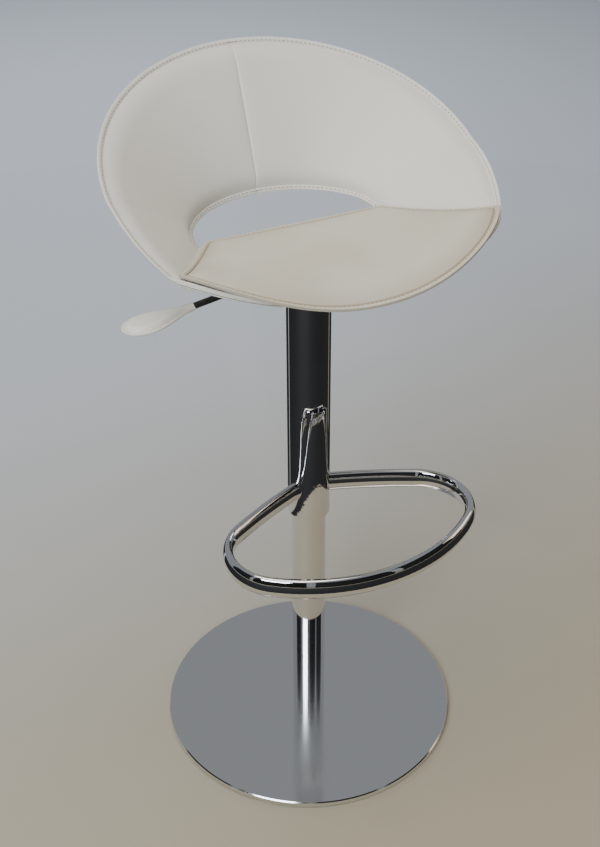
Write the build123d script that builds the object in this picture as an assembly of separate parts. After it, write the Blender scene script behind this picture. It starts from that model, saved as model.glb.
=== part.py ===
from build123d import *
import os
from math import cos, radians, sin, sqrt

os.makedirs("parts", exist_ok=True)

# Adjustable swivel stool. Millimetres, +Z up. The origin is on the column's axis at
# the floor. The sitter faces -Y, and +X is on the seat's right as seen from the front.
# The stool is modelled with its seat fully raised.

# ---- Base and stand -------------------------------------------------------------
BASE_DIAMETER = 450.0
BASE_THICKNESS = 8.0
BASE_BEVEL = 1.5
FLOOR_PAD_THICKNESS = 2.0
FLOOR_PAD_INSET = 5.0
STAND_DIAMETER = 50.0
STAND_WALL = 2.0
STAND_LENGTH = 410.0
FOOT_PLUG_HEIGHT = 18.0
FOOT_PLUG_BORE = 20.0
BASE_SCREW_COUNT = 3
BASE_SCREW_DIAMETER = 6.0
BASE_SCREW_HEAD = 11.0
BASE_SCREW_TIP_GAP = 4.0

# ---- Swivel bearing -------------------------------------------------------------
SEAT_DISC_THICKNESS = 4.0
RACE_THICKNESS = 2.5
RACE_DIAMETER = 34.0
BALL_DIAMETER = 4.0
BALL_COUNT = 12
BALL_CIRCLE = 25.0
ROD_CLIP_THICKNESS = 1.5
ROD_CLIP_DIAMETER = 16.0
ROD_TAIL = 6.0

# ---- Gas spring -----------------------------------------------------------------
STROKE = 220.0
ROD_DIAMETER = 10.0
ROD_COLLAR_DIAMETER = 18.0
ROD_COLLAR_HEIGHT = 4.0
BUMP_STOP_DIAMETER = 22.0
BUMP_STOP_HEIGHT = 14.0
CYLINDER_DIAMETER = 28.0
CYLINDER_WALL = 2.0
GLAND_HEIGHT = 18.0
PISTON_HEIGHT = 12.0
PISTON_SEAL_HEIGHT = 3.0
PISTON_SEAL_DEPTH = 2.5
VALVE_BODY_LENGTH = 68.0
TAPER_REDUCTION = 2.0
CYLINDER_PROUD = 1.0
PIN_DIAMETER = 8.0
PIN_TOP_CHAMFER = 1.5
PIN_BELOW_TOP = 40.0
BUSH_LENGTH = 70.0
BUSH_FLANGE_HEIGHT = 3.0

# ---- Cover tube -----------------------------------------------------------------
COVER_WALL = 2.0
COVER_LENGTH = 370.0
COVER_OVERLAP = 40.0
GLIDE_WALL = 3.0
GLIDE_HEIGHT = 24.0
GLIDE_SET_BACK = 1.0
COLLAR_HEIGHT = 12.0
COLLAR_RIM_HEIGHT = 3.0

# ---- Footrest -------------------------------------------------------------------
RING_ABOVE_COVER_END = 47.0
RING_TUBE_WIDTH = 15.0
RING_TUBE_DEPTH = 30.0
RING_TUBE_WALL = 1.5
RING_REACH = 235.0
RING_FRONT_RADIUS = 241.0
RING_CORNER_RADIUS = 72.0
RING_ARM_ANGLE = 27.0
RING_ARM_BOW = 8.0
SADDLE_HEIGHT = 182.0
SADDLE_SET_UP = 3.0
SADDLE_TAPER = 13.0
SADDLE_FOOT_PROUD = 2.0
SADDLE_TOP_PROUD = 6.0
SADDLE_TOP_SLOPE = 65.0

# ---- Lever and seat mechanism ---------------------------------------------------
HUB_WALL = 8.0
HUB_LENGTH = 57.0
HOUSING_ABOVE_COLLAR = 1.0
HOUSING_WALL = 3.0
HOUSING_HEIGHT = 27.0
HOUSING_INNER_END = 40.0
HOUSING_OUTER_END = 60.0
LEVER_FORWARD_ANGLE = 14.0
LEVER_DIAMETER = 8.0
LEVER_PIVOT_DISTANCE = 38.0
LEVER_TAIL = 14.0
LEVER_REACH = 197.0
LEVER_ABOVE_CYLINDER = 13.0
PIVOT_PIN_DIAMETER = 4.0
HANDLE_START = 187.0
HANDLE_END = 285.0
HANDLE_WIDEST = 256.0
HANDLE_NECK_WIDTH = 15.0
HANDLE_WIDTH = 46.0
HANDLE_THICKNESS = 11.0
HANDLE_EDGE_ROUND = 3.0
HANDLE_SHOULDER_BULGE = 1.0
HANDLE_CORE_INSET = 5.0
HANDLE_CORE_THICKNESS = 4.0
PLATE_THICKNESS = 4.0
PLATE_WIDTH = 176.0
PLATE_FRONT = 126.0
PLATE_REAR = 34.0
PLATE_CORNER = 12.0
PLATE_TO_SHELL = 9.0
SEAT_SCREW_DIAMETER = 6.0
SEAT_SCREW_HEAD = 12.0
SEAT_SCREW_HEAD_HEIGHT = 3.0
SEAT_SCREW_EDGE = 16.0
SEAT_SCREW_SPREAD_Y = 64.0
SEAT_SCREW_CENTRE_Y = -75.0
SPACER_DIAMETER = 20.0

# ---- Seat pan -------------------------------------------------------------------
PAN_HALF_WIDTH = 246.0
PAN_FRONT_DEPTH = 203.0
PAN_CENTRE_Y = 12.0
PAN_SQUARENESS = 2.4
PAN_REAR_Y = 38.0
PAN_REAR_HALF_WIDTH = 127.0
PAN_REAR_CORNER_RADIUS = 16.0
PAN_CORNER_ANGLE = 120.0
PAN_FRONT_DROP = 14.0
PAN_SIDE_RISE = 0.27
PAN_RISE_HALF_WIDTH = 216.0
PAN_PAD_THICKNESS = 6.0
PAN_BOARD_THICKNESS = 3.0
PAN_LINING_THICKNESS = 1.5
PAN_BOARD_INSET = 8.0
PAN_LINING_INSET = 2.5
SLAB_OVERSIZE = 1.1
SLAB_SECTIONS = 6

# ---- Backrest -------------------------------------------------------------------
BACK_BEYOND_PAN = 2.5
BACK_REAR_DEPTH = 203.0
BACK_RISE = 188.0
BACK_OPENING_BEYOND_PAN = 4.0
BACK_OPENING_DEPTH = 105.0
BACK_LOW_EDGE_RISE = -2.0
BACK_ARM_END_ANGLE = 162.0
BACK_ARM_SWEEP = 76.0
BACK_ARM_DEPTH = 70.0
BACK_ARM_FRONT_TUCK = 0.18
BACK_TURN_ANGLE = 84.0
BACK_PAD_THICKNESS = 6.0
BACK_SHELL_THICKNESS = 3.0
BACK_COVER_THICKNESS = 2.4
BACK_LAYER_GAP = 0.3
BACK_SHELL_INSET = 8.0
BACK_BOW_POWER = 4
BACK_STATIONS = 12
ARM_STATIONS = 7
RAIL_SPANS = 6

# ---- Clearances -----------------------------------------------------------------
RUNNING_CLEARANCE = 0.05
SOFT_CLEARANCE = 0.4
SCREW_CLEARANCE = 0.3
PIN_REST_GAP = 0.4
BUMP_CLEARANCE = 2.0

# ---- Derived sizes and heights --------------------------------------------------
cover_diameter = STAND_DIAMETER + 2 * (GLIDE_WALL + COVER_WALL)
hub_diameter = CYLINDER_DIAMETER + 2 * HUB_WALL
housing_width = hub_diameter
back_half_width = PAN_HALF_WIDTH + BACK_BEYOND_PAN
back_front_depth = PAN_FRONT_DEPTH + BACK_BEYOND_PAN
opening_half_width = PAN_REAR_HALF_WIDTH + BACK_OPENING_BEYOND_PAN
plate_z = FLOOR_PAD_THICKNESS
stand_z = plate_z + BASE_THICKNESS
stand_top = stand_z + STAND_LENGTH
disc_z = stand_z + FOOT_PLUG_HEIGHT
lower_race_z = disc_z + SEAT_DISC_THICKNESS
ball_z = lower_race_z + RACE_THICKNESS + RUNNING_CLEARANCE
upper_race_z = ball_z + BALL_DIAMETER
rod_collar_z = upper_race_z + RACE_THICKNESS
bump_z = rod_collar_z + ROD_COLLAR_HEIGHT
cylinder_z = bump_z + BUMP_STOP_HEIGHT + BUMP_CLEARANCE + STROKE
piston_z = cylinder_z + GLAND_HEIGHT + PISTON_HEIGHT / 2
cover_z = stand_top - COVER_OVERLAP
cover_top = cover_z + COVER_LENGTH
ring_z = cover_z + RING_ABOVE_COVER_END
housing_z = cover_top + COLLAR_RIM_HEIGHT + HOUSING_ABOVE_COLLAR
hub_top = housing_z + HOUSING_WALL
cylinder_top = hub_top + CYLINDER_PROUD
hub_z = hub_top - HUB_LENGTH
lever_z = cylinder_top + LEVER_ABOVE_CYLINDER
plate_under = housing_z + HOUSING_HEIGHT
plate_top = plate_under + PLATE_THICKNESS
pan_thickness = PAN_PAD_THICKNESS + PAN_BOARD_THICKNESS + PAN_LINING_THICKNESS
shell_drop = BACK_PAD_THICKNESS + BACK_LAYER_GAP
cover_drop = shell_drop + BACK_SHELL_THICKNESS + BACK_LAYER_GAP
back_thickness = cover_drop + BACK_COVER_THICKNESS
seat_height = plate_top + PLATE_TO_SHELL + back_thickness + SOFT_CLEARANCE + pan_thickness
stand_inner = STAND_DIAMETER / 2 - STAND_WALL
saddle_foot_radius = cover_diameter / 2
saddle_top_radius = saddle_foot_radius - SADDLE_TAPER
cover_inner = cover_diameter / 2 - COVER_WALL
cylinder_inner = CYLINDER_DIAMETER / 2 - CYLINDER_WALL

parts = {}


def disc(radius, height, z=0.0):
    """An upright solid cylinder that stands at height z."""
    return Pos(0, 0, z) * Cylinder(radius, height, align=(Align.CENTER, Align.CENTER, Align.MIN))


def ring(outer, inner, height, z=0.0):
    """An upright tube that stands at height z."""
    return disc(outer, height, z) - disc(inner, height, z)


def cone(low_radius, high_radius, height, z=0.0):
    """An upright truncated cone that stands at height z."""
    return Pos(0, 0, z) * Cone(
        low_radius, high_radius, height, align=(Align.CENTER, Align.CENTER, Align.MIN)
    )


def polar_spots(count, circle, start=90.0):
    """Evenly spaced places on a circle of the given diameter."""
    turns = [radians(start + 360.0 * i / count) for i in range(count)]
    return [(circle / 2 * cos(t), circle / 2 * sin(t)) for t in turns]


def group(solids):
    """Separate solids that share one node."""
    return Compound(children=list(solids))


# ---- Base and stand -------------------------------------------------------------
screw_circle = stand_inner + FOOT_PLUG_BORE / 2
screw_spots = polar_spots(BASE_SCREW_COUNT, screw_circle)
screw_sink = (BASE_SCREW_HEAD - BASE_SCREW_DIAMETER) / 2


def base_screw(x, y):
    """A countersunk screw with its head flush with the plate's underside."""
    length = BASE_THICKNESS + FOOT_PLUG_HEIGHT - BASE_SCREW_TIP_GAP
    shank = disc(BASE_SCREW_DIAMETER / 2, length, plate_z)
    head = cone(BASE_SCREW_HEAD / 2, BASE_SCREW_DIAMETER / 2, screw_sink, plate_z)
    return Pos(x, y, 0) * (shank + head)


def make_base_plate():
    plate = disc(BASE_DIAMETER / 2, BASE_THICKNESS, plate_z)
    rim = plate.edges().filter_by(GeomType.CIRCLE).sort_by(Axis.Z)[-1]
    plate = chamfer(rim, BASE_BEVEL)
    for x, y in screw_spots:
        plate -= base_screw(x, y)
    return plate


def make_foot_plug():
    plug = ring(stand_inner, FOOT_PLUG_BORE / 2, FOOT_PLUG_HEIGHT, stand_z)
    for x, y in screw_spots:
        plug -= base_screw(x, y)
    return plug


def make_guide_bush():
    bore = CYLINDER_DIAMETER / 2 + RUNNING_CLEARANCE
    sleeve = ring(stand_inner, bore, BUSH_LENGTH, stand_top - BUSH_LENGTH)
    return sleeve + ring(STAND_DIAMETER / 2, bore, BUSH_FLANGE_HEIGHT, stand_top)


parts["base_plate"] = make_base_plate()
parts["floor_pad"] = disc(BASE_DIAMETER / 2 - FLOOR_PAD_INSET, FLOOR_PAD_THICKNESS)
parts["stand_tube"] = ring(STAND_DIAMETER / 2, stand_inner, STAND_LENGTH, stand_z)
parts["foot_plug"] = make_foot_plug()
parts["base_screws"] = group(base_screw(x, y) for x, y in screw_spots)
parts["guide_bush"] = make_guide_bush()

# ---- Swivel bearing -------------------------------------------------------------
rod_hole = ROD_DIAMETER / 2 + RUNNING_CLEARANCE
parts["rod_support_disc"] = ring(stand_inner, rod_hole, SEAT_DISC_THICKNESS, disc_z)
parts["lower_race"] = ring(RACE_DIAMETER / 2, rod_hole, RACE_THICKNESS, lower_race_z)
parts["bearing_balls"] = group(
    Pos(x, y, ball_z + BALL_DIAMETER / 2) * Sphere(BALL_DIAMETER / 2)
    for x, y in polar_spots(BALL_COUNT, BALL_CIRCLE)
)
parts["upper_race"] = ring(RACE_DIAMETER / 2, ROD_DIAMETER / 2, RACE_THICKNESS, upper_race_z)

# ---- Gas spring -----------------------------------------------------------------
rod_foot = disc_z - ROD_CLIP_THICKNESS - SOFT_CLEARANCE - ROD_TAIL
clip_z = disc_z - ROD_CLIP_THICKNESS - SOFT_CLEARANCE
seal_z = piston_z + (PISTON_HEIGHT - PISTON_SEAL_HEIGHT) / 2
piston_radius = cylinder_inner - RUNNING_CLEARANCE
cylinder_length = cylinder_top - cylinder_z


def make_gas_cylinder():
    """A tube with a tapered head, closed but for the bore of the release pin."""
    straight = hub_z - cylinder_z
    head = cylinder_length - straight
    body = disc(CYLINDER_DIAMETER / 2, straight, cylinder_z)
    body += cone(CYLINDER_DIAMETER / 2, (CYLINDER_DIAMETER - TAPER_REDUCTION) / 2, head, hub_z)
    valve_z = cylinder_top - VALVE_BODY_LENGTH
    body -= disc(cylinder_inner, valve_z - cylinder_z, cylinder_z)
    return body - disc(PIN_DIAMETER / 2 + RUNNING_CLEARANCE, VALVE_BODY_LENGTH, valve_z)


def make_piston_rod():
    rod = disc(ROD_DIAMETER / 2, piston_z + PISTON_HEIGHT - rod_foot, rod_foot)
    return rod + disc(ROD_COLLAR_DIAMETER / 2, ROD_COLLAR_HEIGHT, rod_collar_z)


piston_blank = ring(piston_radius, ROD_DIAMETER / 2, PISTON_HEIGHT, piston_z)
piston_seal = ring(piston_radius, piston_radius - PISTON_SEAL_DEPTH, PISTON_SEAL_HEIGHT, seal_z)
parts["piston_rod"] = make_piston_rod()
parts["rod_clip"] = ring(ROD_CLIP_DIAMETER / 2, ROD_DIAMETER / 2, ROD_CLIP_THICKNESS, clip_z)
parts["bump_stop"] = ring(BUMP_STOP_DIAMETER / 2, ROD_DIAMETER / 2, BUMP_STOP_HEIGHT, bump_z)
parts["piston"] = piston_blank - piston_seal
parts["piston_seal"] = piston_seal
parts["gas_cylinder"] = make_gas_cylinder()
parts["cylinder_gland"] = ring(cylinder_inner, rod_hole, GLAND_HEIGHT, cylinder_z)


def make_release_pin():
    """The pin that the lever presses down, with its top edge broken."""
    foot_z = cylinder_top - PIN_BELOW_TOP
    pin_top = lever_z - LEVER_DIAMETER / 2 - PIN_REST_GAP
    pin = disc(PIN_DIAMETER / 2, pin_top - foot_z, foot_z)
    return chamfer(pin.edges().sort_by(Axis.Z)[-1], PIN_TOP_CHAMFER)


parts["release_pin"] = make_release_pin()

# ---- Cover tube -----------------------------------------------------------------
parts["cover_tube"] = ring(cover_diameter / 2, cover_inner, COVER_LENGTH, cover_z)
parts["cover_glide"] = ring(
    cover_inner, STAND_DIAMETER / 2 + RUNNING_CLEARANCE, GLIDE_HEIGHT, cover_z + GLIDE_SET_BACK
)
parts["cover_collar"] = ring(
    cover_inner, hub_diameter / 2, COLLAR_HEIGHT, cover_top - COLLAR_HEIGHT
) + ring(cover_diameter / 2, hub_diameter / 2, COLLAR_RIM_HEIGHT, cover_top)

# ---- Footrest -------------------------------------------------------------------


def ring_path():
    """The footrest's centreline in plan: two bowed arms, two corners, one front arc."""
    centre_y = RING_FRONT_RADIUS - RING_REACH
    run_x, run_y = cos(radians(RING_ARM_ANGLE)), -sin(radians(RING_ARM_ANGLE))
    across = centre_y * run_y
    reach = across + sqrt(RING_FRONT_RADIUS**2 - centre_y**2 + across**2)
    root = cover_diameter / 4
    half = (reach + root) / 2
    arms = [
        ThreePointArc(
            (side * root * run_x, root * run_y),
            (side * (half * run_x - RING_ARM_BOW * run_y), half * run_y + RING_ARM_BOW * run_x),
            (side * reach * run_x, reach * run_y),
        )
        for side in (-1, 1)
    ]
    front = ThreePointArc(arms[0] @ 1, (0, -RING_REACH), arms[1] @ 1)
    closing = Line(arms[0] @ 0, arms[1] @ 0)
    outline = make_face([arms[0], front, arms[1], closing])
    corners = outline.vertices().sort_by(Axis.X)
    outline = fillet([corners[0], corners[-1]], RING_CORNER_RADIUS)
    edges = outline.edges().sort_by(SortBy.LENGTH)[1:]
    return Pos(0, 0, ring_z) * Wire(edges)


def ring_tube(path, width, depth):
    """An oval tube's solid along the footrest's path, standing on edge."""
    seat = path.location_at(0)
    start = Plane(origin=seat.position, z_dir=path.tangent_at(0), x_dir=(0, 0, 1))
    return sweep(start * Ellipse(depth / 2, width / 2), path=path)


def make_saddle():
    """A tapering shield on the front of the cover tube, cut off on a slope."""
    foot_z = cover_z + SADDLE_SET_UP
    top_z = foot_z + SADDLE_HEIGHT
    foot_y = -(cover_diameter / 2 + SADDLE_FOOT_PROUD - saddle_foot_radius)
    top_y = -(cover_diameter / 2 + SADDLE_TOP_PROUD - saddle_top_radius)
    foot = Pos(0, foot_y, foot_z) * Circle(saddle_foot_radius)
    top = Pos(0, top_y, top_z) * Circle(saddle_top_radius)
    shield = loft([foot, top])
    slope = Pos(0, -cover_diameter / 2, top_z) * Rot(-SADDLE_TOP_SLOPE, 0, 0)
    shield -= slope * Box(4 * cover_diameter, 4 * cover_diameter, SADDLE_HEIGHT,
                          align=(Align.CENTER, Align.CENTER, Align.MIN))
    return shield - disc(cover_diameter / 2, COVER_LENGTH, cover_z)


footrest_path = ring_path()
footrest_bar = ring_tube(footrest_path, RING_TUBE_WIDTH, RING_TUBE_DEPTH)
footrest_bore = ring_tube(
    footrest_path, RING_TUBE_WIDTH - 2 * RING_TUBE_WALL, RING_TUBE_DEPTH - 2 * RING_TUBE_WALL
)
parts["footrest_saddle"] = make_saddle()
column_space = disc(cover_diameter / 2, COVER_LENGTH, cover_z) + parts["footrest_saddle"]
parts["footrest_ring"] = footrest_bar - footrest_bore - column_space

# ---- Lever and mechanism --------------------------------------------------------
lever_frame = Rot(0, 0, 180.0 + LEVER_FORWARD_ANGLE)
pivot_turn = Rot(90, 0, 0)


def lever_place(distance):
    """A place on the lever's line at rest, at a distance from the column's axis."""
    return lever_frame * Pos(distance, 0, lever_z)


def lever_rod_solid(start, end, radius):
    """A round bar along the lever's line."""
    bar = Cylinder(radius, end - start, align=(Align.CENTER, Align.CENTER, Align.MIN))
    return lever_place(start) * Rot(0, 90, 0) * bar


def pivot_solid(radius, length):
    """A round bar across the lever, through its pivot."""
    return lever_place(LEVER_PIVOT_DISTANCE) * pivot_turn * Cylinder(radius, length)


def make_housing():
    """A channel under the seat plate, open at both ends, with the hub in its floor."""
    length = HOUSING_INNER_END + HOUSING_OUTER_END
    middle = (HOUSING_OUTER_END - HOUSING_INNER_END) / 2
    low = (Align.CENTER, Align.CENTER, Align.MIN)
    outer = Pos(middle, 0, housing_z) * Box(length, housing_width, HOUSING_HEIGHT, align=low)
    inner_width = housing_width - 2 * HOUSING_WALL
    inner = Pos(middle, 0, hub_top) * Box(2 * length, inner_width, HOUSING_HEIGHT, align=low)
    channel = lever_frame * (outer - inner)
    channel -= pivot_solid(PIVOT_PIN_DIAMETER / 2, 2 * housing_width)
    return channel - disc(hub_diameter / 2 - HOUSING_WALL, HOUSING_HEIGHT, housing_z)


def handle_outline(inset):
    """The teardrop outline of the handle, along +X from the column."""
    neck = HANDLE_NECK_WIDTH / 2 - inset / 2
    widest = HANDLE_WIDTH / 2 - inset
    start, end = HANDLE_START + 2 * inset, HANDLE_END - inset
    shoulder = ((start + HANDLE_WIDEST) / 2, (neck + widest) / 2 + HANDLE_SHOULDER_BULGE)
    upper = [(start, neck), shoulder, (HANDLE_WIDEST, widest), (end, 0)]
    side = Spline(upper, tangents=[(1, 0), (0, -1)])
    other = mirror(side, Plane.XZ)
    return make_face([side, other, Line(other @ 0, side @ 0)])


def handle_solid(inset, thickness):
    """The handle's outline given a thickness about the lever's line."""
    blank = extrude(handle_outline(inset), thickness / 2, both=True)
    return lever_frame * Pos(0, 0, lever_z) * blank


def make_handle_cover():
    cover = handle_solid(0.0, HANDLE_THICKNESS)
    long_edges = cover.edges().filter_by(GeomType.BSPLINE)
    cover = fillet(long_edges, HANDLE_EDGE_ROUND)
    cover -= handle_solid(HANDLE_CORE_INSET, HANDLE_CORE_THICKNESS)
    return cover - lever_rod_solid(HANDLE_START - LEVER_TAIL, LEVER_REACH, LEVER_DIAMETER / 2)


screw_xy = [
    (sx * (PLATE_WIDTH / 2 - SEAT_SCREW_EDGE), SEAT_SCREW_CENTRE_Y + sy * SEAT_SCREW_SPREAD_Y / 2)
    for sx in (-1, 1)
    for sy in (-1, 1)
]


def make_plate():
    length = PLATE_FRONT + PLATE_REAR
    outline = Pos(0, (PLATE_REAR - PLATE_FRONT) / 2) * RectangleRounded(PLATE_WIDTH, length, PLATE_CORNER)
    plate = Pos(0, 0, plate_under) * extrude(outline, PLATE_THICKNESS)
    for x, y in screw_xy:
        plate -= Pos(x, y, 0) * disc(SEAT_SCREW_DIAMETER / 2 + SCREW_CLEARANCE, seat_height)
    return plate


lever_bar = lever_rod_solid(-LEVER_TAIL, LEVER_REACH, LEVER_DIAMETER / 2)
lever_bar -= pivot_solid(PIVOT_PIN_DIAMETER / 2 + RUNNING_CLEARANCE, housing_width)
handle_core = handle_solid(HANDLE_CORE_INSET, HANDLE_CORE_THICKNESS)
hub_blank = disc(hub_diameter / 2, HUB_LENGTH - HOUSING_WALL, hub_z)
hub_blank += disc(hub_diameter / 2 - HOUSING_WALL, HOUSING_WALL, housing_z)
parts["taper_hub"] = hub_blank - parts["gas_cylinder"] - disc(PIN_DIAMETER, HUB_LENGTH, hub_z)
parts["mechanism_housing"] = make_housing()
parts["mechanism_plate"] = make_plate()
parts["lever_pivot_pin"] = pivot_solid(PIVOT_PIN_DIAMETER / 2, housing_width)
parts["lever_rod"] = lever_bar
parts["handle_core"] = handle_core - lever_bar
parts["handle_cover"] = make_handle_cover()

# ---- Seat pan -------------------------------------------------------------------


def pan_surface(x, y):
    """Height of the pan's top: it drops to the front and rises to both sides."""
    forward = PAN_REAR_Y - y
    full = PAN_REAR_Y - PAN_CENTRE_Y + PAN_FRONT_DEPTH
    drop = PAN_FRONT_DROP * (forward / full) ** 2
    rise = PAN_SIDE_RISE * forward * (x / PAN_RISE_HALF_WIDTH) ** 2
    return seat_height - drop + rise


def rim_point(angle, half_width, front_depth, rear_depth):
    """A point in plan on the seat's outline; angle 0 is the rear, 180 the front."""
    turn = radians(angle)
    side = 1 if sin(turn) >= 0 else -1
    if cos(turn) >= 0:
        return half_width * sin(turn), PAN_CENTRE_Y + rear_depth * cos(turn)
    power = 2 / PAN_SQUARENESS
    x = side * half_width * abs(sin(turn)) ** power
    return x, PAN_CENTRE_Y - front_depth * abs(cos(turn)) ** power


def pan_outline(inset):
    """The pan's outline in plan: a full front curve, straight sides and rear."""
    half_width, depth = PAN_HALF_WIDTH - inset, PAN_FRONT_DEPTH - inset
    turns = [PAN_CORNER_ANGLE + i * (180 - PAN_CORNER_ANGLE) / 6 for i in range(13)]
    front = Spline([rim_point(t, half_width, depth, depth) for t in turns])
    rear_y = PAN_REAR_Y - inset
    rear = [(-PAN_REAR_HALF_WIDTH + inset, rear_y), (PAN_REAR_HALF_WIDTH - inset, rear_y)]
    sides = Polyline(front @ 1, rear[0], rear[1], front @ 0)
    face = make_face([front, sides])
    corners = [v for v in face.vertices() if abs(v.Y - rear_y) < SOFT_CLEARANCE]
    return fillet(corners, PAN_REAR_CORNER_RADIUS)


def slab(top_drop, bottom_drop):
    """The space between two copies of the pan's surface, wider than the pan."""
    half = SLAB_OVERSIZE * PAN_HALF_WIDTH
    front, rear = PAN_CENTRE_Y - SLAB_OVERSIZE * PAN_FRONT_DEPTH, SLAB_OVERSIZE * PAN_REAR_Y
    sections = []
    for i in range(SLAB_SECTIONS):
        y = front + (rear - front) * i / (SLAB_SECTIONS - 1)
        middle, end = pan_surface(0, y), pan_surface(half, y)
        low = 2 * middle - end
        top = Bezier(
            (-half, y, end - top_drop), (0, y, low - top_drop), (half, y, end - top_drop)
        )
        bottom = Bezier(
            (-half, y, end - bottom_drop), (0, y, low - bottom_drop), (half, y, end - bottom_drop)
        )
        edges = [top, Line(top @ 1, bottom @ 1), bottom, Line(bottom @ 0, top @ 0)]
        sections.append(make_face(edges))
    return loft(sections)


def pan_layer(inset, top_drop, thickness):
    """One layer of the pan."""
    prism = Pos(0, 0, seat_height / 2) * extrude(pan_outline(inset), seat_height)
    return slab(top_drop, top_drop + thickness) & prism


def seat_screw(x, y, clearance=0.0):
    """A screw from under the seat plate up into the pan's board."""
    top = pan_surface(x, y) - PAN_PAD_THICKNESS - SOFT_CLEARANCE
    shank = disc(SEAT_SCREW_DIAMETER / 2 + clearance, top - plate_under, plate_under)
    head = disc(SEAT_SCREW_HEAD / 2, SEAT_SCREW_HEAD_HEIGHT, plate_under - SEAT_SCREW_HEAD_HEIGHT)
    return Pos(x, y, 0) * (shank + head)


board_drop = PAN_PAD_THICKNESS
lining_drop = board_drop + PAN_BOARD_THICKNESS
screws = [seat_screw(x, y) for x, y in screw_xy]
screw_holes = [seat_screw(x, y, SCREW_CLEARANCE) for x, y in screw_xy]


def drilled(solid, holes):
    """A solid with the seat screws' holes cut in it."""
    for hole in holes:
        solid -= hole
    return solid


parts["pan_pad"] = pan_layer(0.0, 0.0, PAN_PAD_THICKNESS)
parts["pan_board"] = drilled(pan_layer(PAN_BOARD_INSET, board_drop, PAN_BOARD_THICKNESS), screws)
parts["pan_lining"] = drilled(
    pan_layer(PAN_LINING_INSET, lining_drop, PAN_LINING_THICKNESS), screw_holes
)

# ---- Backrest -------------------------------------------------------------------


def rim_height(angle, x, y):
    """Height of the backrest's rim: a swung curve behind, the pan's underside in front."""
    if angle >= PAN_CORNER_ANGLE:
        return pan_surface(x, y) - pan_thickness - SOFT_CLEARANCE
    fold = radians(PAN_CORNER_ANGLE)
    fold_x, fold_y = rim_point(PAN_CORNER_ANGLE, back_half_width, back_front_depth, 0)
    fold_z = rim_height(PAN_CORNER_ANGLE, fold_x, fold_y)
    share = (cos(radians(angle)) - cos(fold)) / (1 - cos(fold))
    return fold_z + share * (seat_height + BACK_RISE - fold_z)


def band_ends(angle):
    """The lower and upper edge of the backrest's inner face at one angle."""
    share = (angle - PAN_CORNER_ANGLE) / (BACK_ARM_END_ANGLE - PAN_CORNER_ANGLE)
    if share <= 0:
        turn = radians(90.0 * angle / PAN_CORNER_ANGLE)
        low_y = PAN_REAR_Y + BACK_OPENING_DEPTH * cos(turn)
    else:
        turn = radians(90.0 + share * BACK_ARM_SWEEP)
        low_y = PAN_REAR_Y + BACK_ARM_DEPTH * cos(turn)
    low_x = opening_half_width * sin(turn)
    low_z = pan_surface(low_x, min(low_y, PAN_REAR_Y)) - pan_thickness - SOFT_CLEARANCE
    low_z += max(0.0, cos(turn)) * (pan_thickness + BACK_LOW_EDGE_RISE)
    shrink = 1.0 - BACK_ARM_FRONT_TUCK * max(0.0, share) ** 2
    x, y = rim_point(angle, back_half_width * shrink, back_front_depth * shrink, BACK_REAR_DEPTH)
    return Vector(low_x, low_y, low_z), Vector(x, y, rim_height(angle, x, y))


def band_sag(angle, share):
    """How far the face hangs under its chord, so that its arms lie along the pan."""
    low, high = band_ends(max(angle, PAN_CORNER_ANGLE))
    place = low + (high - low) * share
    sag = place.Z - pan_surface(place.X, place.Y) + pan_thickness + SOFT_CLEARANCE
    return sag * min(1.0, angle / PAN_CORNER_ANGLE) ** BACK_BOW_POWER


def band_outward(angle):
    """The way the backrest's thickness grows: away from the sitter, straight down below."""
    low, high = band_ends(angle)
    before, after = band_ends(angle - 1), band_ends(angle + 1)
    along = after[0] + after[1] - before[0] - before[1]
    away = (high - low).cross(along).normalized()
    share = min(1.0, max(0.0, (angle - BACK_TURN_ANGLE) / (PAN_CORNER_ANGLE - BACK_TURN_ANGLE)))
    down = share * share * (3 - 2 * share)
    return (away * (1 - down) - Vector(0, 0, down)).normalized()


def band_section(angle, inset, inner_drop, outer_drop):
    """A flat section across the backrest: a hanging strip between two depths."""
    low, high = band_ends(angle)
    chord = high - low
    outward = band_outward(angle)
    trim = inset / chord.length
    rails = []
    for drop in (inner_drop, outer_drop):
        shares = [trim + (1 - 2 * trim) * i / RAIL_SPANS for i in range(RAIL_SPANS + 1)]
        rails.append(
            Spline([low + chord * t + outward * (drop + band_sag(angle, t)) for t in shares])
        )
    inner, outer = rails
    return make_face([inner, Line(inner @ 1, outer @ 1), outer, Line(outer @ 0, inner @ 0)])


def band_layer(inset, inner_drop, thickness):
    """One layer of the backrest, from arm to arm around the rear."""
    behind = [i * PAN_CORNER_ANGLE / BACK_STATIONS for i in range(BACK_STATIONS)]
    step = (BACK_ARM_END_ANGLE - PAN_CORNER_ANGLE) / ARM_STATIONS
    below = [PAN_CORNER_ANGLE + i * step for i in range(ARM_STATIONS + 1)]
    sections = [
        band_section(angle, inset, inner_drop, inner_drop + thickness) for angle in behind + below
    ]
    half = loft(sections)
    return half + mirror(half, Plane.YZ)


parts["back_pad"] = drilled(band_layer(0.0, 0.0, BACK_PAD_THICKNESS), screw_holes)
parts["back_shell"] = drilled(
    band_layer(BACK_SHELL_INSET, shell_drop, BACK_SHELL_THICKNESS), screw_holes
)
parts["back_cover"] = drilled(band_layer(0.0, cover_drop, BACK_COVER_THICKNESS), screw_holes)


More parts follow.
